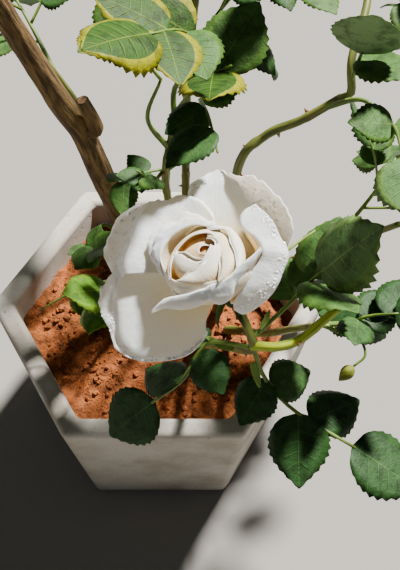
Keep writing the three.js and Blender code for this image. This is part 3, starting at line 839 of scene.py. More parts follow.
# Each grows on a limb's side or from its end, and carries alternate leaves. One with no count of leaves
# is a single leaf, whose stalk is the shoot's own line.
SHOOTS = {
    "front_spray": {
        "on": ("flower_cane", 0.62), "leaflet": 40, "seed": 12492, "tone": "deep",
        "through": [(67, -137, 294), (83, -149, 279), (117, -168, 270)],
    },
    "left_spray": {
        "on": ("flower_cane", 0.645), "leaflet": 34, "seed": 16416, "tone": "deep",
        "through": [(36, -128, 315), (23, -143, 303), (6, -149, 287)],
    },
    "right_spray": {
        "on": ("flower_cane", 0.71), "leaflet": 40, "seed": 3706, "tone": "pale",
        "through": [(77, -114, 329), (89, -103, 335), (95, -103, 346)],
    },
    "right_shoot": {
        "after": "right_cane", "leaves": 2, "leaflet": 30, "seed": 23208, "tone": "deep",
        "through": [(112, -115, 302), (121, -113, 299)],
    },
    "olive_top_shoot": {
        "on": ("high_right_bough", 0.36), "leaflet": 36, "seed": 23124,
        "tone": "pale", "through": [(109, -37, 435)],
    },
    "olive_side_shoot": {
        "on": ("olive_cane", 0.93), "leaves": 1, "leaflet": 31, "seed": 9862,
        "tone": "pale", "through": [(112, -42, 408), (123, -51, 405)],
    },
    "middle_top_shoot": {
        "after": "middle_cane", "leaves": 3, "leaflet": 42, "seed": 5184,
        "tone": "edged", "through": [(19, 3, 373), (39, -7, 406)],
    },
    "middle_side_shoot": {
        "on": ("middle_cane", 0.9), "leaves": 2, "leaflet": 30, "seed": 4804,
        "tone": "edged", "through": [(3, -11, 361), (11, -3, 383)],
    },
    "middle_right_shoot": {
        "on": ("middle_cane", 0.8), "leaves": 2, "leaflet": 34, "seed": 15362,
        "tone": "mid", "through": [(35, -4, 336), (32, -12, 377)],
    },
    "middle_low_shoot": {
        "on": ("middle_cane", 0.72), "leaves": 2, "leaflet": 22, "seed": 22181,
        "tone": "dark", "through": [(12, -3, 309), (2, -21, 312)],
    },
    "sprout": {
        "on": ("trunk", 0.2), "leaves": 2, "leaflet": 37, "seed": 24842, "tone": "bright",
        "through": [(-20, -9, 199), (-31, -47, 213)],
    },
    "low_left_shoot": {
        "on": ("trunk", 0.24), "leaves": 1, "leaflet": 22, "seed": 20747,
        "tone": "mid", "through": [(-35, 21, 220), (-43, -8, 225)],
    },
    "upper_shoot": {
        "after": "upper_bough", "leaves": 4, "leaflet": 33, "seed": 80, "tone": "mid",
        "through": [(-92, 84, 474), (-84, 90, 492)],
    },
    "upper_side_shoot": {
        "on": ("upper_bough", 0.55), "leaves": 3, "leaflet": 33, "seed": 948,
        "tone": "dark", "through": [(-122, 82, 440), (-142, 94, 448)],
    },
    "left_shoot": {
        "after": "left_bough", "leaves": 4, "leaflet": 33, "seed": 1109, "tone": "mid",
        "through": [(-140, 2, 448), (-152, -6, 464)],
    },
    "left_low_shoot": {
        "on": ("left_bough", 0.6), "leaves": 4, "leaflet": 32, "seed": 997,
        "tone": "dark", "through": [(-130, 34, 408), (-148, 46, 388)],
    },
    "back_top_shoot": {
        "after": "back_cane", "leaves": 5, "leaflet": 34, "seed": 1753,
        "tone": "mid", "through": [(34, 100, 404), (30, 112, 436)],
    },
    "back_side_shoot": {
        "on": ("back_cane", 0.9), "leaves": 4, "leaflet": 32, "seed": 3335,
        "tone": "edged", "through": [(-2, 104, 372), (-20, 122, 388)],
    },
    "back_low_shoot": {
        "on": ("back_cane", 0.82), "leaves": 4, "leaflet": 32, "seed": 1571,
        "tone": "dark", "through": [(42, 100, 336), (62, 130, 340)],
    },
    "high_right_shoot": {
        "after": "high_right_bough", "leaves": 4, "leaflet": 34, "seed": 17,
        "tone": "mid", "through": [(112, 66, 430), (106, 80, 446)],
    },
    "high_right_side_shoot": {
        "on": ("high_right_bough", 0.8), "leaves": 4, "leaflet": 33,
        "seed": 1585, "tone": "pale", "through": [(140, 48, 412), (158, 62, 400)],
    },
    "side_top_shoot": {
        "after": "side_cane", "leaves": 4, "leaflet": 33, "seed": 220,
        "tone": "dark", "through": [(170, -20, 298), (170, -18, 322)],
    },
    "side_low_shoot": {
        "on": ("side_cane", 0.7), "leaves": 4, "leaflet": 32, "seed": 1893,
        "tone": "mid", "through": [(150, 28, 246), (166, 50, 258)],
    },
    "back_left_top_shoot": {
        "after": "back_left_cane", "leaves": 4, "leaflet": 33, "seed": 1123,
        "tone": "mid", "through": [(-98, 98, 368), (-100, 108, 390)],
    },
    "back_left_side_shoot": {
        "on": ("back_left_cane", 0.85), "leaves": 4, "leaflet": 32,
        "seed": 1249, "tone": "dark", "through": [(-78, 108, 318), (-92, 132, 326)],
    },
}

# The air that leaves keep clear of: the bloom, and the open side that it faces
BLOOM_ROOM = {"start": Vector((36, -120, 372)), "end": Vector((30, -230, 540)), "radius": 52}

# The share of a limb's length at which its radius is taken, to keep leaves clear of it
THICKNESS_AT = 0.3


def randoms_from(seed):
    """Repeatable random numbers from 0 to 1, the same as in the part's source."""
    state = seed
    while True:
        state = (state * 1664525 + 1013904223) % 4294967296
        yield state / 4294967296


def distance_to_line(point, start, end):
    """How far a point is from the straight line between two others."""
    run = end - start
    share = clamp((point - start).dot(run) / run.dot(run))
    return (point - start - run * share).length


def distance_to_path(point, path):
    return min(distance_to_line(point, *pair) for pair in zip(path, path[1:]))


for shoot in SHOOTS.values():
    shoot["line"] = Line([*start_from(shoot.get("on"), shoot.get("after")), *shoot["through"]])
    shoot["path"] = shoot["line"].sampled()
for limb in LIMBS.values():
    limb["path"] = limb["line"].sampled()
    limb["thickness"] = limb_radius(limb, THICKNESS_AT)


def in_own_space(point, shoot):
    """Whether a point is clear of bloom, pot and limbs, and lies nearest to its own shoot's stem."""
    if distance_to_line(point, BLOOM_ROOM["start"], BLOOM_ROOM["end"]) < BLOOM_ROOM["radius"]:
        return False
    over_pot = math.hypot(point.x, point.y) < RIM_RADIUS + POT_CLEARANCE
    if over_pot and point.z < POT_HEIGHT + POT_CLEARANCE:
        return False
    for limb in LIMBS.values():
        if distance_to_path(point, limb["path"]) < limb["thickness"] + LIMB_CLEARANCE:
            return False
    own = distance_to_path(point, shoot["path"]) + OWN_SPACE_MARGIN
    others = [other for other in SHOOTS.values() if other is not shoot]
    return all(distance_to_path(point, other["path"]) > own for other in others)


class Leaflet:
    """Where one blade grows: its root, the way it points, its side, its upper face and its length."""

    def __init__(self, root, along, up, length):
        self.root = root
        self.along = along
        self.side = up.cross(along).normalized()
        self.normal = along.cross(self.side)
        self.length = length

    def point(self, u, v, w):
        """The point u along the blade, v across it and w above it, all in lengths of the blade."""
        across = self.side * (v * self.length)
        lift = (w - LEAFLET_DROOP * u * u) * self.length
        return self.root + self.along * (u * self.length) + across + self.normal * lift


# The points at which a blade is tried against its neighbours. A neighbour takes up an oval, whose half
# length and half width are in lengths of its blade, and the room in millimetres above and below it.
MIDDLE_POINTS = [(0.15, 0), (0.5, 0), (0.8, 0), (1, 0)]
SIDE_POINTS = [(0.3, 0.4), (0.3, -0.4), (0.7, 0.34), (0.7, -0.34)]
CHECK_POINTS = MIDDLE_POINTS + SIDE_POINTS
BLADE_REACH = 0.525
BLADE_SPREAD = 0.42
BLADE_ROOM = 2.2


def crosses(blade, other):
    """Whether a blade comes through another one of the same shoot."""
    for u, v in CHECK_POINTS:
        offset = blade.point(u, v, 0) - other.root
        along = offset.dot(other.along) / other.length
        across = offset.dot(other.side) / other.length
        above = offset.dot(other.normal) + LEAFLET_DROOP * along * along * other.length
        over = math.hypot((along - 0.5) / BLADE_REACH, across / BLADE_SPREAD) < 1
        if over and abs(above) < BLADE_ROOM:
            return True
    return False


def fits(blade, shoot, earlier):
    """Whether a blade keeps to its shoot's own space and crosses none of the earlier ones."""
    if not all(in_own_space(blade.point(u, v, 0), shoot) for u, v in CHECK_POINTS):
        return False
    return not any(crosses(blade, other) or crosses(other, blade) for other in earlier)


def leaflets_along(line, size, shoot, numbers, earlier):
    """The leaflets of one leaf whose stalk follows a line."""
    blades = []

    def place(at, length, spread, hand):
        ahead = line.direction(at)
        tilt = Vector((next(numbers) - 0.5, next(numbers) - 0.5, 0)) * LEAFLET_TILT
        up = UP + tilt
        side = up.cross(ahead).normalized()
        along = (ahead * math.cos(spread) + side * (hand * math.sin(spread))).normalized()
        sunk = LEAFLET_ROOT if at < 1 else TIP_LEAFLET_ROOT
        blade = Leaflet(line.point(at) - along * sunk, along, up, length + sunk)
        if fits(blade, shoot, earlier + blades):
            blades.append(blade)

    for pair in PAIRS:
        for hand in (-1, 1):
            length = size * pair["size"] * mix(0.9, 1.1, next(numbers))
            place(pair["at"] + hand * STAGGER, length, math.radians(pair["spread"]), hand)
    place(1, size * mix(1, 1.15, next(numbers)), 0, 1)
    return blades


def leaves_of(shoot):
    """The stalks and blades of a shoot."""
    numbers = randoms_from(shoot["seed"])
    line = shoot["line"]
    leaves = shoot.get("leaves", 0)
    if not leaves:
        return [], leaflets_along(line, shoot["leaflet"], shoot, numbers, [])
    stalks = []
    blades = []
    angle = next(numbers) * math.tau
    for i in range(leaves):
        at = mix(FIRST_LEAF, 1, (i + 0.5) / (leaves - 0.5))
        ahead = line.direction(at)
        across = ahead.cross(UPWARDS).normalized()
        over = across.cross(ahead)
        out = across * math.cos(angle) + over * math.sin(angle)
        heading = (out + ahead * STALK_AHEAD + UP * STALK_LIFT).normalized()
        start = line.point(at)
        reach = shoot["leaflet"] * mix(*STALK_REACH, next(numbers))
        middle = start + heading * (reach * 0.5)
        end = start + heading * reach - UP * (STALK_SAG * reach)
        stalk = Line([start, middle, end])
        grown = leaflets_along(stalk, shoot["leaflet"], shoot, numbers, blades)
        if grown:
            stalks.append(stalk)
            blades.extend(grown)
        angle += TURN
    return stalks, blades


# Leaf shapes, drawn flat: u along the blade and v across it, in lengths of the blade

TEETH = 10
TOOTH_DEPTH = 0.035
TOOTH_LEAN = 0.008
EDGE_BAND = 0.72
VEIN_PAIRS = 6
VEIN_WIDTHS = (0.004, 0.0015)
MIDRIB_WIDTHS = (0.011, 0.003)
LEAF_SEED = 5

# In millimetres
BLADE_THICKNESS = 0.4
VEIN_LIFT = 0.27


def half_width(u):
    """A rose leaflet's outline: broad below the middle and drawn out to a point."""
    return LEAFLET_WIDTH * 0.52 * math.sin(math.pi * clamp(u) ** 0.78) ** (0.6 + 0.4 * clamp(u))


def blade_pattern():
    """A blade of few faces: two rows each side of the midrib, and a saw-toothed edge."""
    rows = 2 * TEETH
    bm = grid(4, rows)
    for vert in bm.verts:
        step = round((vert.co.y + 1) / 2 * rows)
        u = step / rows
        out = (0, EDGE_BAND, 1)[round(abs(vert.co.x) * 2)]
        v = half_width(u) * out
        if out == 1 and 0 < step < rows:
            tooth = 1 if step % 2 else -1
            v *= 1 + tooth * TOOTH_DEPTH
            u += tooth * TOOTH_LEAN
        vert.co = Vector((u, math.copysign(v, vert.co.x), 0))
    for face in bm.faces:
        middle = face.calc_center_median()
        face.material_index = int(abs(middle.y) > half_width(middle.x) * EDGE_BAND)
    bmesh.ops.remove_doubles(bm, verts=bm.verts, dist=1e-5)
    bmesh.ops.reverse_faces(bm, faces=bm.faces)
    return bm


def vein_pattern():
    """The midrib and its side veins, as thin strips that lie on the blade."""
    strips = Joined()

    def strip(points, widths):
        line = Line(points)

        def place(x, y, z):
            t = (y + 1) / 2
            ahead = line.direction(t)
            across = Vector((-ahead.y, ahead.x, 0))
            return line.point(t) + across * (x * mix(*widths, t))

        strips.add(grid(1, len(points) * 2), place)

    strip([(0, 0, 0), (0.5, 0, 0), (0.97, 0, 0)], MIDRIB_WIDTHS)
    for i in range(VEIN_PAIRS):
        u = mix(0.1, 0.78, i / (VEIN_PAIRS - 1))
        for hand in (-1, 1):
            reach = half_width(u + 0.13) * 0.9
            strip([(u, 0, 0), (u + 0.06, hand * reach * 0.45, 0), (u + 0.15, hand * reach, 0)], VEIN_WIDTHS)
    return strips.bm


def blade_surface(blade, curl, quilt):
    """How a flat blade is bent where it grows: folded, curled at its edges and quilted by its veins."""

    def place(u, v, w):
        width = max(half_width(u), 0.02)
        out = min(abs(v) / width, 1.2)
        fold = abs(v) * LEAFLET_FOLD
        edge = -curl * out ** 3 * width * math.sin(math.pi * clamp(u))
        ripple = quilt * math.sin((u - abs(v) * 0.5) * math.tau * VEIN_PAIRS * 1.3) * out
        return blade.point(u, v, w + fold + edge + ripple)

    return place


def make_leaves():
    """All the leaves: twigs and stalks, blades and veins, each kind joined into one piece.

    A blade's paints are those of its skin and its edge, and its underside takes one paint for both.
    """
    tones = list(LEAF_TONES)
    skins = [leaf_paint(f"leaf_{tone}", LEAF_TONES[tone][0]) for tone in tones]
    edges = [leaf_paint(f"leaf_edge_{tone}", LEAF_TONES[tone][1]) for tone in tones]
    unders = [leaf_paint(f"leaf_under_{tone}", LEAF_TONES[tone][2], 0.6) for tone in tones]
    ribs = [leaf_paint(f"leaf_vein_{tone}", LEAF_TONES[tone][3]) for tone in tones]
    draw = random.Random(LEAF_SEED)
    blade_shape = blade_pattern()
    vein_shape = vein_pattern()
    twigs, blades_mesh, veins = Joined(), Joined(), Joined()
    for shoot in SHOOTS.values():
        stalks, blades = leaves_of(shoot)
        thick = STEM_RADIUS if shoot.get("leaves") else SPRAY_STEM_RADIUS
        twigs.add(tube(shoot["line"], lambda share: mix(thick, TWIG_TIP_RADIUS, share), 8, 14, ends=(1, 0)))
        for stalk in stalks:
            twigs.add(tube(stalk, lambda share: mix(*STALK_RADII, share), 6, 10))
        for blade in blades:
            own = draw.random() < OWN_TONE_SHARE
            index = tones.index(shoot["tone"] if own else NEXT_TONE[shoot["tone"]])
            place = blade_surface(blade, mix(0.1, 0.5, draw.random()), mix(0.002, 0.008, draw.random()))
            blades_mesh.add(blade_shape, place, lambda edge: index + edge * len(tones))
            lift = VEIN_LIFT / blade.length
            veins.add(vein_shape, lambda u, v, w: place(u, v, w + lift), lambda old: index)
    names = list(SHOOTS)
    make_piece("leaf_twigs", twigs.bm, [PAINTS["stalk"]], names)
    skin = make_piece("leaf_blades", blades_mesh.bm, skins + edges + unders + unders, names)
    thicken(skin, BLADE_THICKNESS, material_offset=2 * len(tones), material_offset_rim=0)
    make_piece("leaf_veins", veins.bm, ribs)


# Bloom: petals that start round a small seat and lean out from the bloom's axis

# A petal's claw as a radius and a height, and how far round its ribs spread there
CLAW = (4, 2)
CLAW_SPAN = 0.8

# The share of a petal's rows below its crease, and how far past the crease the apricot reaches
RIB_SHARE = 0.6
RIM_LINE = 0.12

# A petal is a fan of ribs. Each rib leaves a narrow claw, passes the belly and ends at the crease, and
# from there the rim rolls on. The three lines hold azimuths in degrees about the bloom's axis, radii and
# heights. Claw is the radius and height where a petal starts, if it isn't the usual one. Bend says how
# far outwards and downwards the roll's middle is drawn, and ruffle how uneven the rim is. Warm is the
# depth of apricot at the claw and at the crease, and within is the same for the face that looks to the
# heart.
OUTER_PETALS = {
    "guard": {
        "bend": (0.3, 0.9), "warm": (0.3, 0.04), "ruffle": 1.2,
        "belly": [(160, 22, 14), (205, 25, 10), (240, 16, 6)],
        "crease": [
            (155, 40, 16), (171, 51, 16), (179, 54, 14), (190, 55, 10), (202, 58, 6), (214, 55, 3),
            (228, 45, 2), (240, 35, 2), (247, 26, 5),
        ],
        "rim": [
            (152, 46, 13), (168, 62, 12), (176, 67, 8), (190, 64, 5), (202, 63, 2), (213, 58, 1),
            (228, 47, 0), (242, 37, 1), (249, 27, 4),
        ],
    },
    "upper_left": {
        "bend": (0.42, 0.9), "warm": (0.35, 0.03), "ruffle": 1.2,
        "belly": [(176, 20, 18), (130, 18, 20), (85, 14, 20)],
        "crease": [
            (175, 47, 23), (168, 47, 26), (157, 46, 28), (148, 47, 29), (138, 50, 29), (128, 53, 29),
            (119, 47, 29), (112, 46, 29), (100, 37, 29), (88, 24, 28),
        ],
        "rim": [
            (168, 57, 13), (160, 66.4, 13), (152, 71.8, 13), (144, 74.4, 14), (135, 72.8, 17), (126, 62, 21),
            (119, 50, 26), (112, 51, 23), (100, 40, 26), (87, 25, 27),
        ],
    },
    "top": {
        "bend": (0.6, 0.2), "warm": (0.45, 0.03), "ruffle": 1.2,
        "belly": [(112, 15, 16), (60, 18, 18), (0, 18, 16)],
        "crease": [
            (107, 43, 27), (97, 46, 28), (89, 47, 28), (81, 48, 28), (75, 48, 28), (70, 44, 27),
            (65, 39, 26), (56, 35, 25), (42, 34, 24), (22, 33, 21), (4, 30, 17),
        ],
        "rim": [
            (107, 48, 24), (101, 56, 23), (93, 59, 23), (86, 56, 27), (77, 47.4, 32), (65, 44.3, 36),
            (51, 42.5, 39), (36, 41.7, 38), (22, 42, 36), (8, 41.3, 32), (0, 34.4, 21),
        ],
    },
    "right": {
        "bend": (0.75, 0.2), "warm": (0.55, 0.05), "ruffle": 0.7,
        "belly": [(52, 20, 18), (0, 20, 18), (-75, 15, 10)],
        "crease": [
            (50, 31, 31), (49, 27.7, 33), (46, 23.4, 33.5), (36, 20.2, 33.5), (23, 20.4, 33), (10, 23, 33),
            (-1, 25.3, 32.5), (-10, 26.5, 31), (-18, 24.5, 28), (-31, 22, 26), (-48, 21, 23),
            (-62, 21, 19), (-69, 20, 15),
        ],
        "rim": [
            (50, 32.4, 31), (42, 32.5, 33.5), (34, 32.5, 34), (26, 33.1, 34), (19, 33.4, 33.5),
            (12, 34, 32.5), (5, 34.9, 28), (-5, 36.7, 23), (-17, 34, 20), (-31, 32, 16), (-48, 28, 12),
            (-65, 24, 9), (-73, 22, 13),
        ],
    },
    "front": {
        "bend": (0.85, 0.25), "warm": (0.4, 0.06), "ruffle": 0.8,
        "belly": [(215, 20, 14), (290, 17, 17), (355, 20, 18)],
        "crease": [
            (219, 30, 28), (225, 27, 29), (234, 24, 29.5), (244, 22, 30), (255, 20.5, 31), (264, 19.6, 31),
            (273, 19, 32), (282, 19.2, 32.5), (292, 20, 33), (304, 20.8, 34), (324, 21, 35), (351, 26, 34),
        ],
        "rim": [
            (216, 38, 24), (221, 32, 24), (229, 29, 23), (246, 25, 23), (258, 23, 24), (267, 22.4, 25.5),
            (276, 24.4, 24), (284, 25, 24.5), (293, 24.6, 26), (303, 22.4, 29), (322, 22, 31), (350, 26, 33),
        ],
    },
}
INNER_PETALS = {
    "frill": {
        "bend": (0.5, 0.3), "warm": (0.3, 0.05), "ruffle": 1.5,
        "belly": [(182, 22, 17), (130, 21, 18), (80, 18, 18)],
        "crease": [
            (178, 26, 27), (164, 29, 30), (150, 29, 31), (138, 28, 32), (126, 25, 32), (112, 24, 32),
            (98, 20, 33), (82, 16, 33),
        ],
        "rim": [
            (178, 27, 26), (161, 34, 29), (148, 36.5, 30), (138, 34.5, 30), (124, 30.5, 30.5),
            (115, 31.5, 31), (99, 23, 32), (82, 17.5, 33),
        ],
    },
    "collar": {
        "bend": (0.6, 0.2), "warm": (0.5, 0.1), "within": (0.6, 0.38), "ruffle": 1.1,
        "belly": [(235, 20, 16), (150, 21, 18), (60, 18, 18)],
        "crease": [
            (222, 23, 25), (200, 23.6, 28), (180, 24.6, 31), (168, 24.3, 33), (159, 24, 34),
            (147, 22.8, 34), (132, 20.3, 35), (119, 18.7, 35), (107, 16.6, 35), (96, 14.6, 35),
            (78, 12.5, 35),
        ],
        "rim": [
            (224, 24, 25), (202, 24.6, 28), (182, 26.8, 29), (170, 29, 30), (160, 31, 31.5),
            (148, 31.5, 32), (134, 28, 32), (119, 25, 33), (107, 22, 33), (95, 18.2, 34),
            (72, 15, 35),
        ],
    },
    "cup": {
        "warm": (0.5, 0.18), "within": (0.6, 0.36), "ruffle": 0.2,
        "belly": [(175, 22, 20), (250, 20.5, 20), (330, 20.5, 20)],
        "rim": [
            (172, 24.6, 32.5), (194, 22.4, 32), (208, 21.6, 32), (222, 19.8, 32), (242, 18.4, 33),
            (262, 17.8, 33), (282, 17.9, 33), (303, 20, 34), (325, 19.5, 35),
        ],
    },
    "apricot": {
        "warm": (0.55, 0.34), "within": (0.68, 0.48), "ruffle": 0.25,
        "belly": [(212, 20, 26), (140, 18, 24), (60, 14, 24)],
        "rim": [
            (212, 21.5, 33), (200, 19, 35), (186, 16.4, 36), (168, 14.5, 36), (147, 12, 37),
            (126, 10.8, 37), (104, 9.2, 37), (81, 8.2, 37), (50, 7, 37),
        ],
    },
    "crescent": {
        "warm": (0.45, 0.1), "ruffle": 0.3,
        "belly": [(95, 15, 27), (50, 14.5, 28), (10, 16, 28), (-60, 19.5, 27)],
        "rim": [
            (88, 12, 35), (78, 11.1, 36), (61, 10.9, 37), (40, 12.6, 37), (18, 12.2, 37),
            (-4, 12.4, 37), (-26, 15.9, 36), (-42, 19.5, 35),
        ],
    },
    "peach": {
        "warm": (0.5, 0.34), "within": (0.9, 0.6), "ruffle": 0.25,
        "belly": [(80, 12.5, 28), (30, 13, 29), (-10, 15.5, 29), (-75, 18.4, 28)],
        "rim": [
            (85, 5, 37), (47, 4.6, 38), (10, 5, 38), (-14, 5.3, 38), (-47, 9, 37), (-64, 15, 36),
            (-73, 18.2, 34),
        ],
    },
    "bud_right": {
        "warm": (0.72, 0.16), "within": (0.9, 0.7), "ruffle": 0.3,
        "belly": [(220, 18, 28), (270, 17.6, 28), (340, 13, 28)],
        "rim": [(224, 19.4, 33), (229, 16, 35), (238, 11.6, 36), (262, 8, 38), (291, 4.5, 39), (350, 3, 39)],
    },
    "bud_left": {
        "warm": (0.78, 0.16), "within": (0.9, 0.7), "ruffle": 1.0,
        "belly": [(165, 16, 27), (210, 17.6, 28), (270, 14, 27)],
        "rim": [(172, 14, 35), (181, 13, 37), (187, 10.2, 38), (200, 8, 38), (230, 7.1, 38), (265, 7, 38)],
    },
    "core": {
        "claw": (1, 33.6), "warm": (0.65, 0.5), "within": (0.85, 0.65), "ruffle": 0.4,
        "belly": [(-90, 8, 28), (0, 8, 28), (90, 11, 30), (150, 14.5, 30), (200, 13, 30), (250, 8, 28)],
        "rim": [
            (-90, 1.6, 34), (0, 1.8, 35), (90, 2.2, 35.5), (150, 3.6, 35.5), (200, 3.4, 35), (250, 1.6, 34),
        ],
    },
}

# How far down from their rims the outer petals are wet, where 1 is all of the roll
WET = {"guard": 0.9, "upper_left": 0.9, "top": 0.9, "right": 0.45}

DROPS = 1000
DEW_SEED = 3

# The drops' radii in millimetres, their height as a share of that, and how far their middles are raised
DROP_SIZES = (0.24, 0.9)
DROP_HEIGHT = 0.36
DROP_RAISE = 0.26


def in_bloom(x, y, z):
    """A point given from the bloom's seat, with z along the way that the bloom faces."""
    return HIP + BLOOM_AXIS * (BLOOM_SEAT + z) + BLOOM_SIDE * x + BLOOM_BACK * y


def from_cylinder(place):
    """The point of an azimuth in degrees, a radius and a height."""
    azimuth, radius, height = place
    turn = math.radians(azimuth)
    return Vector((radius * math.cos(turn), radius * math.sin(turn), height))


def curve(start, control, end, share):
    """A quadratic Bezier curve."""
    return start * (1 - share) ** 2 + control * (2 * share * (1 - share)) + end * share ** 2


class Petal:
    """The surface of one petal: s runs across it, and t from 0 at the claw over 1 at the crease to 2."""

    RIM_START = 0.93

    def __init__(self, belly, rim, warm, ruffle, within=None, crease=None, bend=(0.5, 0.5), claw=CLAW):
        self.belly = Line(belly)
        self.rim = Line(rim)
        self.crease = Line(crease) if crease else None
        self.bend = bend
        self.claw = claw
        self.warm = warm
        self.within = within or warm
        self.ruffle = ruffle
        self.seed = rim[0][0] * 0.37
        self.middle = (self.fold(0).x + self.fold(1).x) / 2

    def fold(self, s):
        """The crease, which lies just short of the rim where a petal has no roll."""
        if self.crease:
            return self.crease.point(s)
        return self.belly.point(s).lerp(self.rim.point(s), self.RIM_START)

    def spot(self, s, t):
        """A point of the petal, in the bloom's own frame."""
        crease = self.fold(s)
        rim = self.rim.point(s)
        claw_azimuth = mix(self.middle, crease.x, CLAW_SPAN)
        claw = from_cylinder((claw_azimuth, *self.claw))
        belly = from_cylinder(self.belly.point(s))
        fold = from_cylinder(crease)
        if t <= 1:
            point = curve(claw, belly * 2 - (claw + fold) / 2, fold, t)
        else:
            out, down = self.bend
            bent = (mix(crease.x, rim.x, 0.5), mix(crease.y, rim.y, out), mix(crease.z, rim.z, down))
            point = curve(fold, from_cylinder(bent), from_cylinder(rim), t - 1)
        outwards = Vector((point.x, point.y, 0)).normalized()
        slow = wander(point, 13, self.seed) * smooth(t, 0.5, 1.8)
        quick = wander(point, 4, self.seed) * smooth(t, 1, 2)
        swell = 0.5 * wander(point, 17, self.seed + 4) * smooth(t, 0.3, 0.8)
        rise = self.ruffle * (0.6 * slow + 0.9 * quick) + swell
        return point + outwards * (self.ruffle * (0.3 * slow + 0.9 * quick)) + UP * rise

    def point(self, s, t):
        """The same point, where the bloom stands."""
        return in_bloom(*self.spot(s, t))

    def warmth(self, t, face):
        """The depth of apricot on one face, which fades out just past the crease."""
        low, high = face
        if t <= 1:
            return mix(low, high, smooth(t, 0.45, 0.95))
        return mix(high, 0, smooth(t, 1, 1 + RIM_LINE))


def petal_shape(petal, columns, rows):
    """One petal, with its own UV map and how near each point is to the bloom's heart."""
    part = grid(columns, rows)
    heart = part.verts.layers.float.new("heart")
    heart_within = part.verts.layers.float.new("heart_within")
    uv = part.loops.layers.uv.new("petal")
    places = {}
    for vert in part.verts:
        s = clamp((vert.co.x + 1) / 2)
        along = clamp((vert.co.y + 1) / 2)
        t = along / RIB_SHARE if along < RIB_SHARE else 1 + (along - RIB_SHARE) / (1 - RIB_SHARE)
        places[vert] = (s, t)
    for face in part.faces:
        for loop in face.loops:
            s, t = places[loop.vert]
            loop[uv].uv = (s, t / 2)
    for vert, (s, t) in places.items():
        vert.co = petal.point(s, t)
        vert[heart] = petal.warmth(t, petal.warm)
        vert[heart_within] = petal.warmth(t, petal.within)
    if petal.rim.point(0).x > petal.rim.point(1).x:
        bmesh.ops.reverse_faces(part, faces=part.faces)
    return part


def make_petals(name, petals, columns, rows, thickness):
    """A piece of several petals, which stand for the solid bloom."""
    joined = Joined()
    for spec in petals.values():
        joined.add(petal_shape(Petal(**spec), columns, rows))
    piece = make_piece(name, joined.bm, [PAINTS["petal"], PAINTS["petal_within"]], ["bloom"])
    thicken(piece, thickness, material_offset=1)


def make_dew():
    """Small drops of water on the rolled rims of the outer petals."""
    draw = random.Random(DEW_SEED)
    drop = bmesh.new()
    bmesh.ops.create_uvsphere(drop, u_segments=8, v_segments=5, radius=1)
    drops = Joined()
    step = 0.01
    petals = [(Petal(**OUTER_PETALS[name]), wet) for name, wet in WET.items()]
    for _ in range(DROPS):
        petal, wet = draw.choice(petals)
        s = draw.uniform(0.05, 0.95)
        t = 2 - wet * draw.random() ** 0.8
        spot = petal.point(s, t)
        normal = (petal.point(s + step, t) - spot).cross(petal.point(s, t - step) - spot).normalized()
        if normal.z < 0:
            normal.negate()
        size = mix(*DROP_SIZES, draw.random() ** 2.2)
        side = normal.orthogonal().normalized()
        other = normal.cross(side)

        def place(a, b, c):
            raised = c * size * DROP_HEIGHT + DROP_RAISE
            return spot + side * (a * size) + other * (b * size) + normal * raised

        drops.add(drop, place)
    make_piece("dew_drops", drops.bm, [PAINTS["dew_painted_glint"]])


# Calyx: the hip and its five sepals, bent back under the petals

SEPALS = [
    {"azimuth": 17, "length": 52, "lean": (70, 66, 76), "tip": 1},
    {"azimuth": 82, "length": 22, "lean": (90, 120, 170)},
    {"azimuth": 154, "length": 22, "lean": (90, 120, 175)},
    {"azimuth": 236, "length": 20, "lean": (80, 110, 185)},
    {"azimuth": 286, "length": 21, "lean": (80, 125, 190)},
]
SEPAL_START = (1.5, -2.2)
SEPAL_STEPS = 14
SEPAL_WIDTH = 4
SEPAL_THICKNESS = 0.5
HIP_SIDES = 20

# The hip's outline, as radii and heights from the bloom's seat
HIP_TOP = HIP_ABOVE - BLOOM_SEAT
HIP_FOOT = -HIP_BELOW - BLOOM_SEAT
HIP_PROFILE = [
    (0, HIP_FOOT - 1), (2.3, HIP_FOOT - 0.6), (3.4, HIP_FOOT + 1.4), (4.6, -8.6), (4.8, -6.5), (4.2, -3.2),
    (3.4, HIP_TOP), (0, HIP_TOP),
]


def sepal_surface(spec):
    """How a flat strip is bent into a sepal, by lean: its angles from upright at root, middle and tip."""
    root, middle, tip = [math.radians(angle) for angle in spec["lean"]]
    step = spec["length"] / SEPAL_STEPS
    centres = [SEPAL_START]
    for i in range(SEPAL_STEPS):
        angle = curve(root, middle, tip, (i + 0.5) / SEPAL_STEPS)
        radius, height = centres[-1]
        centres.append((radius + math.sin(angle) * step, height + math.cos(angle) * step))
    turn = Matrix.Rotation(math.radians(spec["azimuth"]), 3, "Z")

    def place(x, y, z):
        t = (y + 1) / 2
        radius, height = centres[round(t * SEPAL_STEPS)]
        across = x * SEPAL_WIDTH * 0.5 * (1 - 0.9 * t * t) * (0.7 + 0.3 * math.sin(math.pi * t))
        spot = turn @ Vector((radius, across, height - 0.25 * abs(x) + 0.3))
        return in_bloom(*spot)

    return place


def make_calyx():
    """The green hip under the bloom, with its sepals."""
    calyx = Joined()
    calyx.add(turned(HIP_PROFILE, HIP_SIDES), in_bloom)
    for spec in SEPALS:
        calyx.add(grid(4, SEPAL_STEPS), sepal_surface(spec), lambda old: spec.get("tip", 0))
    paints = [PAINTS["sepal"], PAINTS["sepal_tip"]]
    piece = make_piece("calyx_green", calyx.bm, paints, ["calyx"])
    thicken(piece, SEPAL_THICKNESS)


# Small parts: stipules at the foot of the sprays, a bud that hangs on its stalk, and prickles

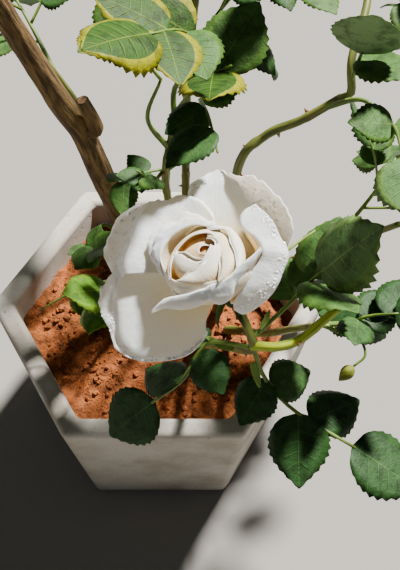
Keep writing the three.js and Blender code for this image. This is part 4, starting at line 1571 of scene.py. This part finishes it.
STIPULES = [
    {"through": [(50, -130, 311), (43, -128, 312), (35, -124, 314)], "width": 5},
    {"through": [(60, -134, 304), (62, -139, 300), (64, -145, 296)], "width": 4.4},
    {"through": [(63, -128, 327), (66, -124, 331), (68, -120, 334)], "width": 2.8},
    {"through": [(99, -109, 303), (104, -112, 306), (108, -112, 308)], "width": 3.4},
]
BUD_STALK = [(101, -109, 301), (108, -119, 318), (115, -128, 322), (118, -137, 319), (112, -142, 316)]
BUD_STALK_RADII = (0.9, 0.7)
BUD_RADIUS = 3.6
BUD_LENGTH = 11

# The prickly limbs, each with the angle in radians from which its prickles turn round it
PRICKLED = {
    "flower_cane": 11, "olive_cane": 10, "middle_cane": 11, "right_cane": 10, "back_cane": 9,
    "side_cane": 9, "pruned_shoot": 12,
}
PRICKLE_GAP = 19
PRICKLE_LENGTH = 3.4
PRICKLE_HALF_HEIGHT = 1.5
PRICKLE_HALF_WIDTH = 0.6
PRICKLE_DROOP = 0.35
PRICKLE_SUNK = 0.4


def make_stipules():
    """Narrow pointed leaves where the sprays leave the stem."""
    leaves = Joined()
    for spec in STIPULES:
        line = Line(spec["through"])

        def place(x, y, z):
            t = (y + 1) / 2
            side = UP.cross(line.direction(t)).normalized()
            half = spec["width"] * 0.5 * math.sin(math.pi * mix(0.12, 0.97, t)) ** 0.8
            return line.point(t) + side * (x * half) + UP * (abs(x) * 0.8 + 1.2)

        leaves.add(grid(4, 10), place)
    piece = make_piece("stipules", leaves.bm, [PAINTS["stipule"]])
    thicken(piece, BLADE_THICKNESS)


def make_bud():
    """A small closed bud that hangs from an arching stalk."""
    stalk = Line(BUD_STALK)
    stalk_bm = tube(stalk, lambda share: mix(*BUD_STALK_RADII, share), 8, 30)
    make_piece("bud_stalk", stalk_bm, [PAINTS["stalk"]])
    ahead = stalk.direction(1) * BUD_LENGTH
    core = Line([stalk.point(1), stalk.point(1) + ahead / 2, stalk.point(1) + ahead])

    def radius_at(share):
        return 0.2 + BUD_RADIUS * math.sin(math.pi * share ** 0.8) ** 0.9

    bud_bm = tube(core, radius_at, 14, 20, cane_relief(0.3, BUD_LENGTH))
    make_piece("bud", bud_bm, [PAINTS["bud"]])


def make_prickles():
    """Short prickles that point down a little, in turn round the canes."""
    spike = bmesh.new()
    bmesh.ops.create_cone(spike, cap_ends=True, segments=7, radius1=1, radius2=0, depth=2)
    spikes = Joined()
    for name, first_turn in PRICKLED.items():
        limb = LIMBS[name]
        line = limb["line"]
        count = int(line.lengths[-1] / PRICKLE_GAP)
        for i in range(1, count):
            t = line.at_length(i / count)
            ahead = line.direction(t)
            side = ahead.orthogonal().normalized()
            side.rotate(Matrix.Rotation(i * TURN + first_turn, 3, ahead))
            across = ahead.cross(side)
            root = line.point(t) + side * (limb_radius(limb, i / count) - PRICKLE_SUNK)

            def place(x, y, z):
                out = (z + 1) / 2
                lower = ahead * (y * PRICKLE_HALF_HEIGHT - PRICKLE_DROOP * out * out * PRICKLE_LENGTH)
                return root + side * (out * PRICKLE_LENGTH) + lower + across * (x * PRICKLE_HALF_WIDTH)

            spikes.add(spike, place)
    make_piece("prickles", spikes.bm, [PAINTS["prickle"]])


# Floor, light and camera

IMAGE_HEIGHT = 570
CAMERA_PLACE = (32.1, -375.4, 752.8)
CAMERA_ELEVATION = 57
FOCAL_PIXELS = 950
SENSOR = 36

# In metres
FLOOR_REACH = 30
LIT_PLACE = Vector((0, 0, 0.3))


def make_stage():
    """A wide pale floor under the pot."""
    bm = bmesh.new()
    bmesh.ops.create_grid(bm, x_segments=1, y_segments=1, size=FLOOR_REACH)
    mesh = bpy.data.meshes.new("floor")
    bm.to_mesh(mesh)
    bm.free()
    floor = bpy.data.objects.new("floor", mesh)
    floor.data.materials.append(Paint("floor", Base_Color=srgb(138, 135, 130), Roughness=0.85).material)
    bpy.context.scene.collection.objects.link(floor)


def add_light(name, kind, place, power, colour, **width):
    """A light that shines on the plant's middle from a place in metres. A sun's width is an angle."""
    data = bpy.data.lights.new(name, kind)
    data.energy = power
    data.color = colour
    for setting, value in width.items():
        setattr(data, setting, value)
    light = bpy.data.objects.new(name, data)
    light.location = place
    light.rotation_euler = (LIT_PLACE - Vector(place)).to_track_quat("-Z", "Y").to_euler()
    bpy.context.scene.collection.objects.link(light)


def make_lights():
    """One soft sun from behind on the right, with two weak fills and a dim sky."""
    add_light("sun", "SUN", (0.82, 1.12, 2.22), 15.5, (1, 0.97, 0.92), angle=math.radians(5))
    add_light("front_fill", "AREA", (0.3, -2.0, 1.5), 1.2, (0.94, 0.97, 1), shape="DISK", size=1.8)
    add_light("side_fill", "AREA", (-1.8, -0.2, 1.2), 0.9, (1, 1, 1), shape="DISK", size=1.4)
    world = bpy.data.worlds.new("studio")
    world.use_nodes = True
    sky = world.node_tree.nodes["Background"]
    sky.inputs["Color"].default_value = (0.96, 0.97, 1, 1)
    sky.inputs["Strength"].default_value = 0.08
    bpy.context.scene.world = world


def make_camera():
    """The photo's view, from in front of the bloom and high above it."""
    data = bpy.data.cameras.new("camera")
    data.sensor_width = SENSOR
    data.lens = FOCAL_PIXELS * SENSOR / IMAGE_HEIGHT
    camera = bpy.data.objects.new("camera", data)
    camera.location = Vector(CAMERA_PLACE) * MM
    camera.rotation_euler = (math.radians(90 - CAMERA_ELEVATION), 0, 0)
    bpy.context.scene.collection.objects.link(camera)
    bpy.context.scene.camera = camera


make_camera()
make_stage()
make_lights()
make_pot()
make_soil()
make_crumbs()
make_limbs()
make_leaves()
make_petals("outer_petals", OUTER_PETALS, 72, 40, 0.6)
make_petals("inner_petals", INNER_PETALS, 48, 30, 0.45)
make_dew()
make_calyx()
make_stipules()
make_bud()
make_prickles()
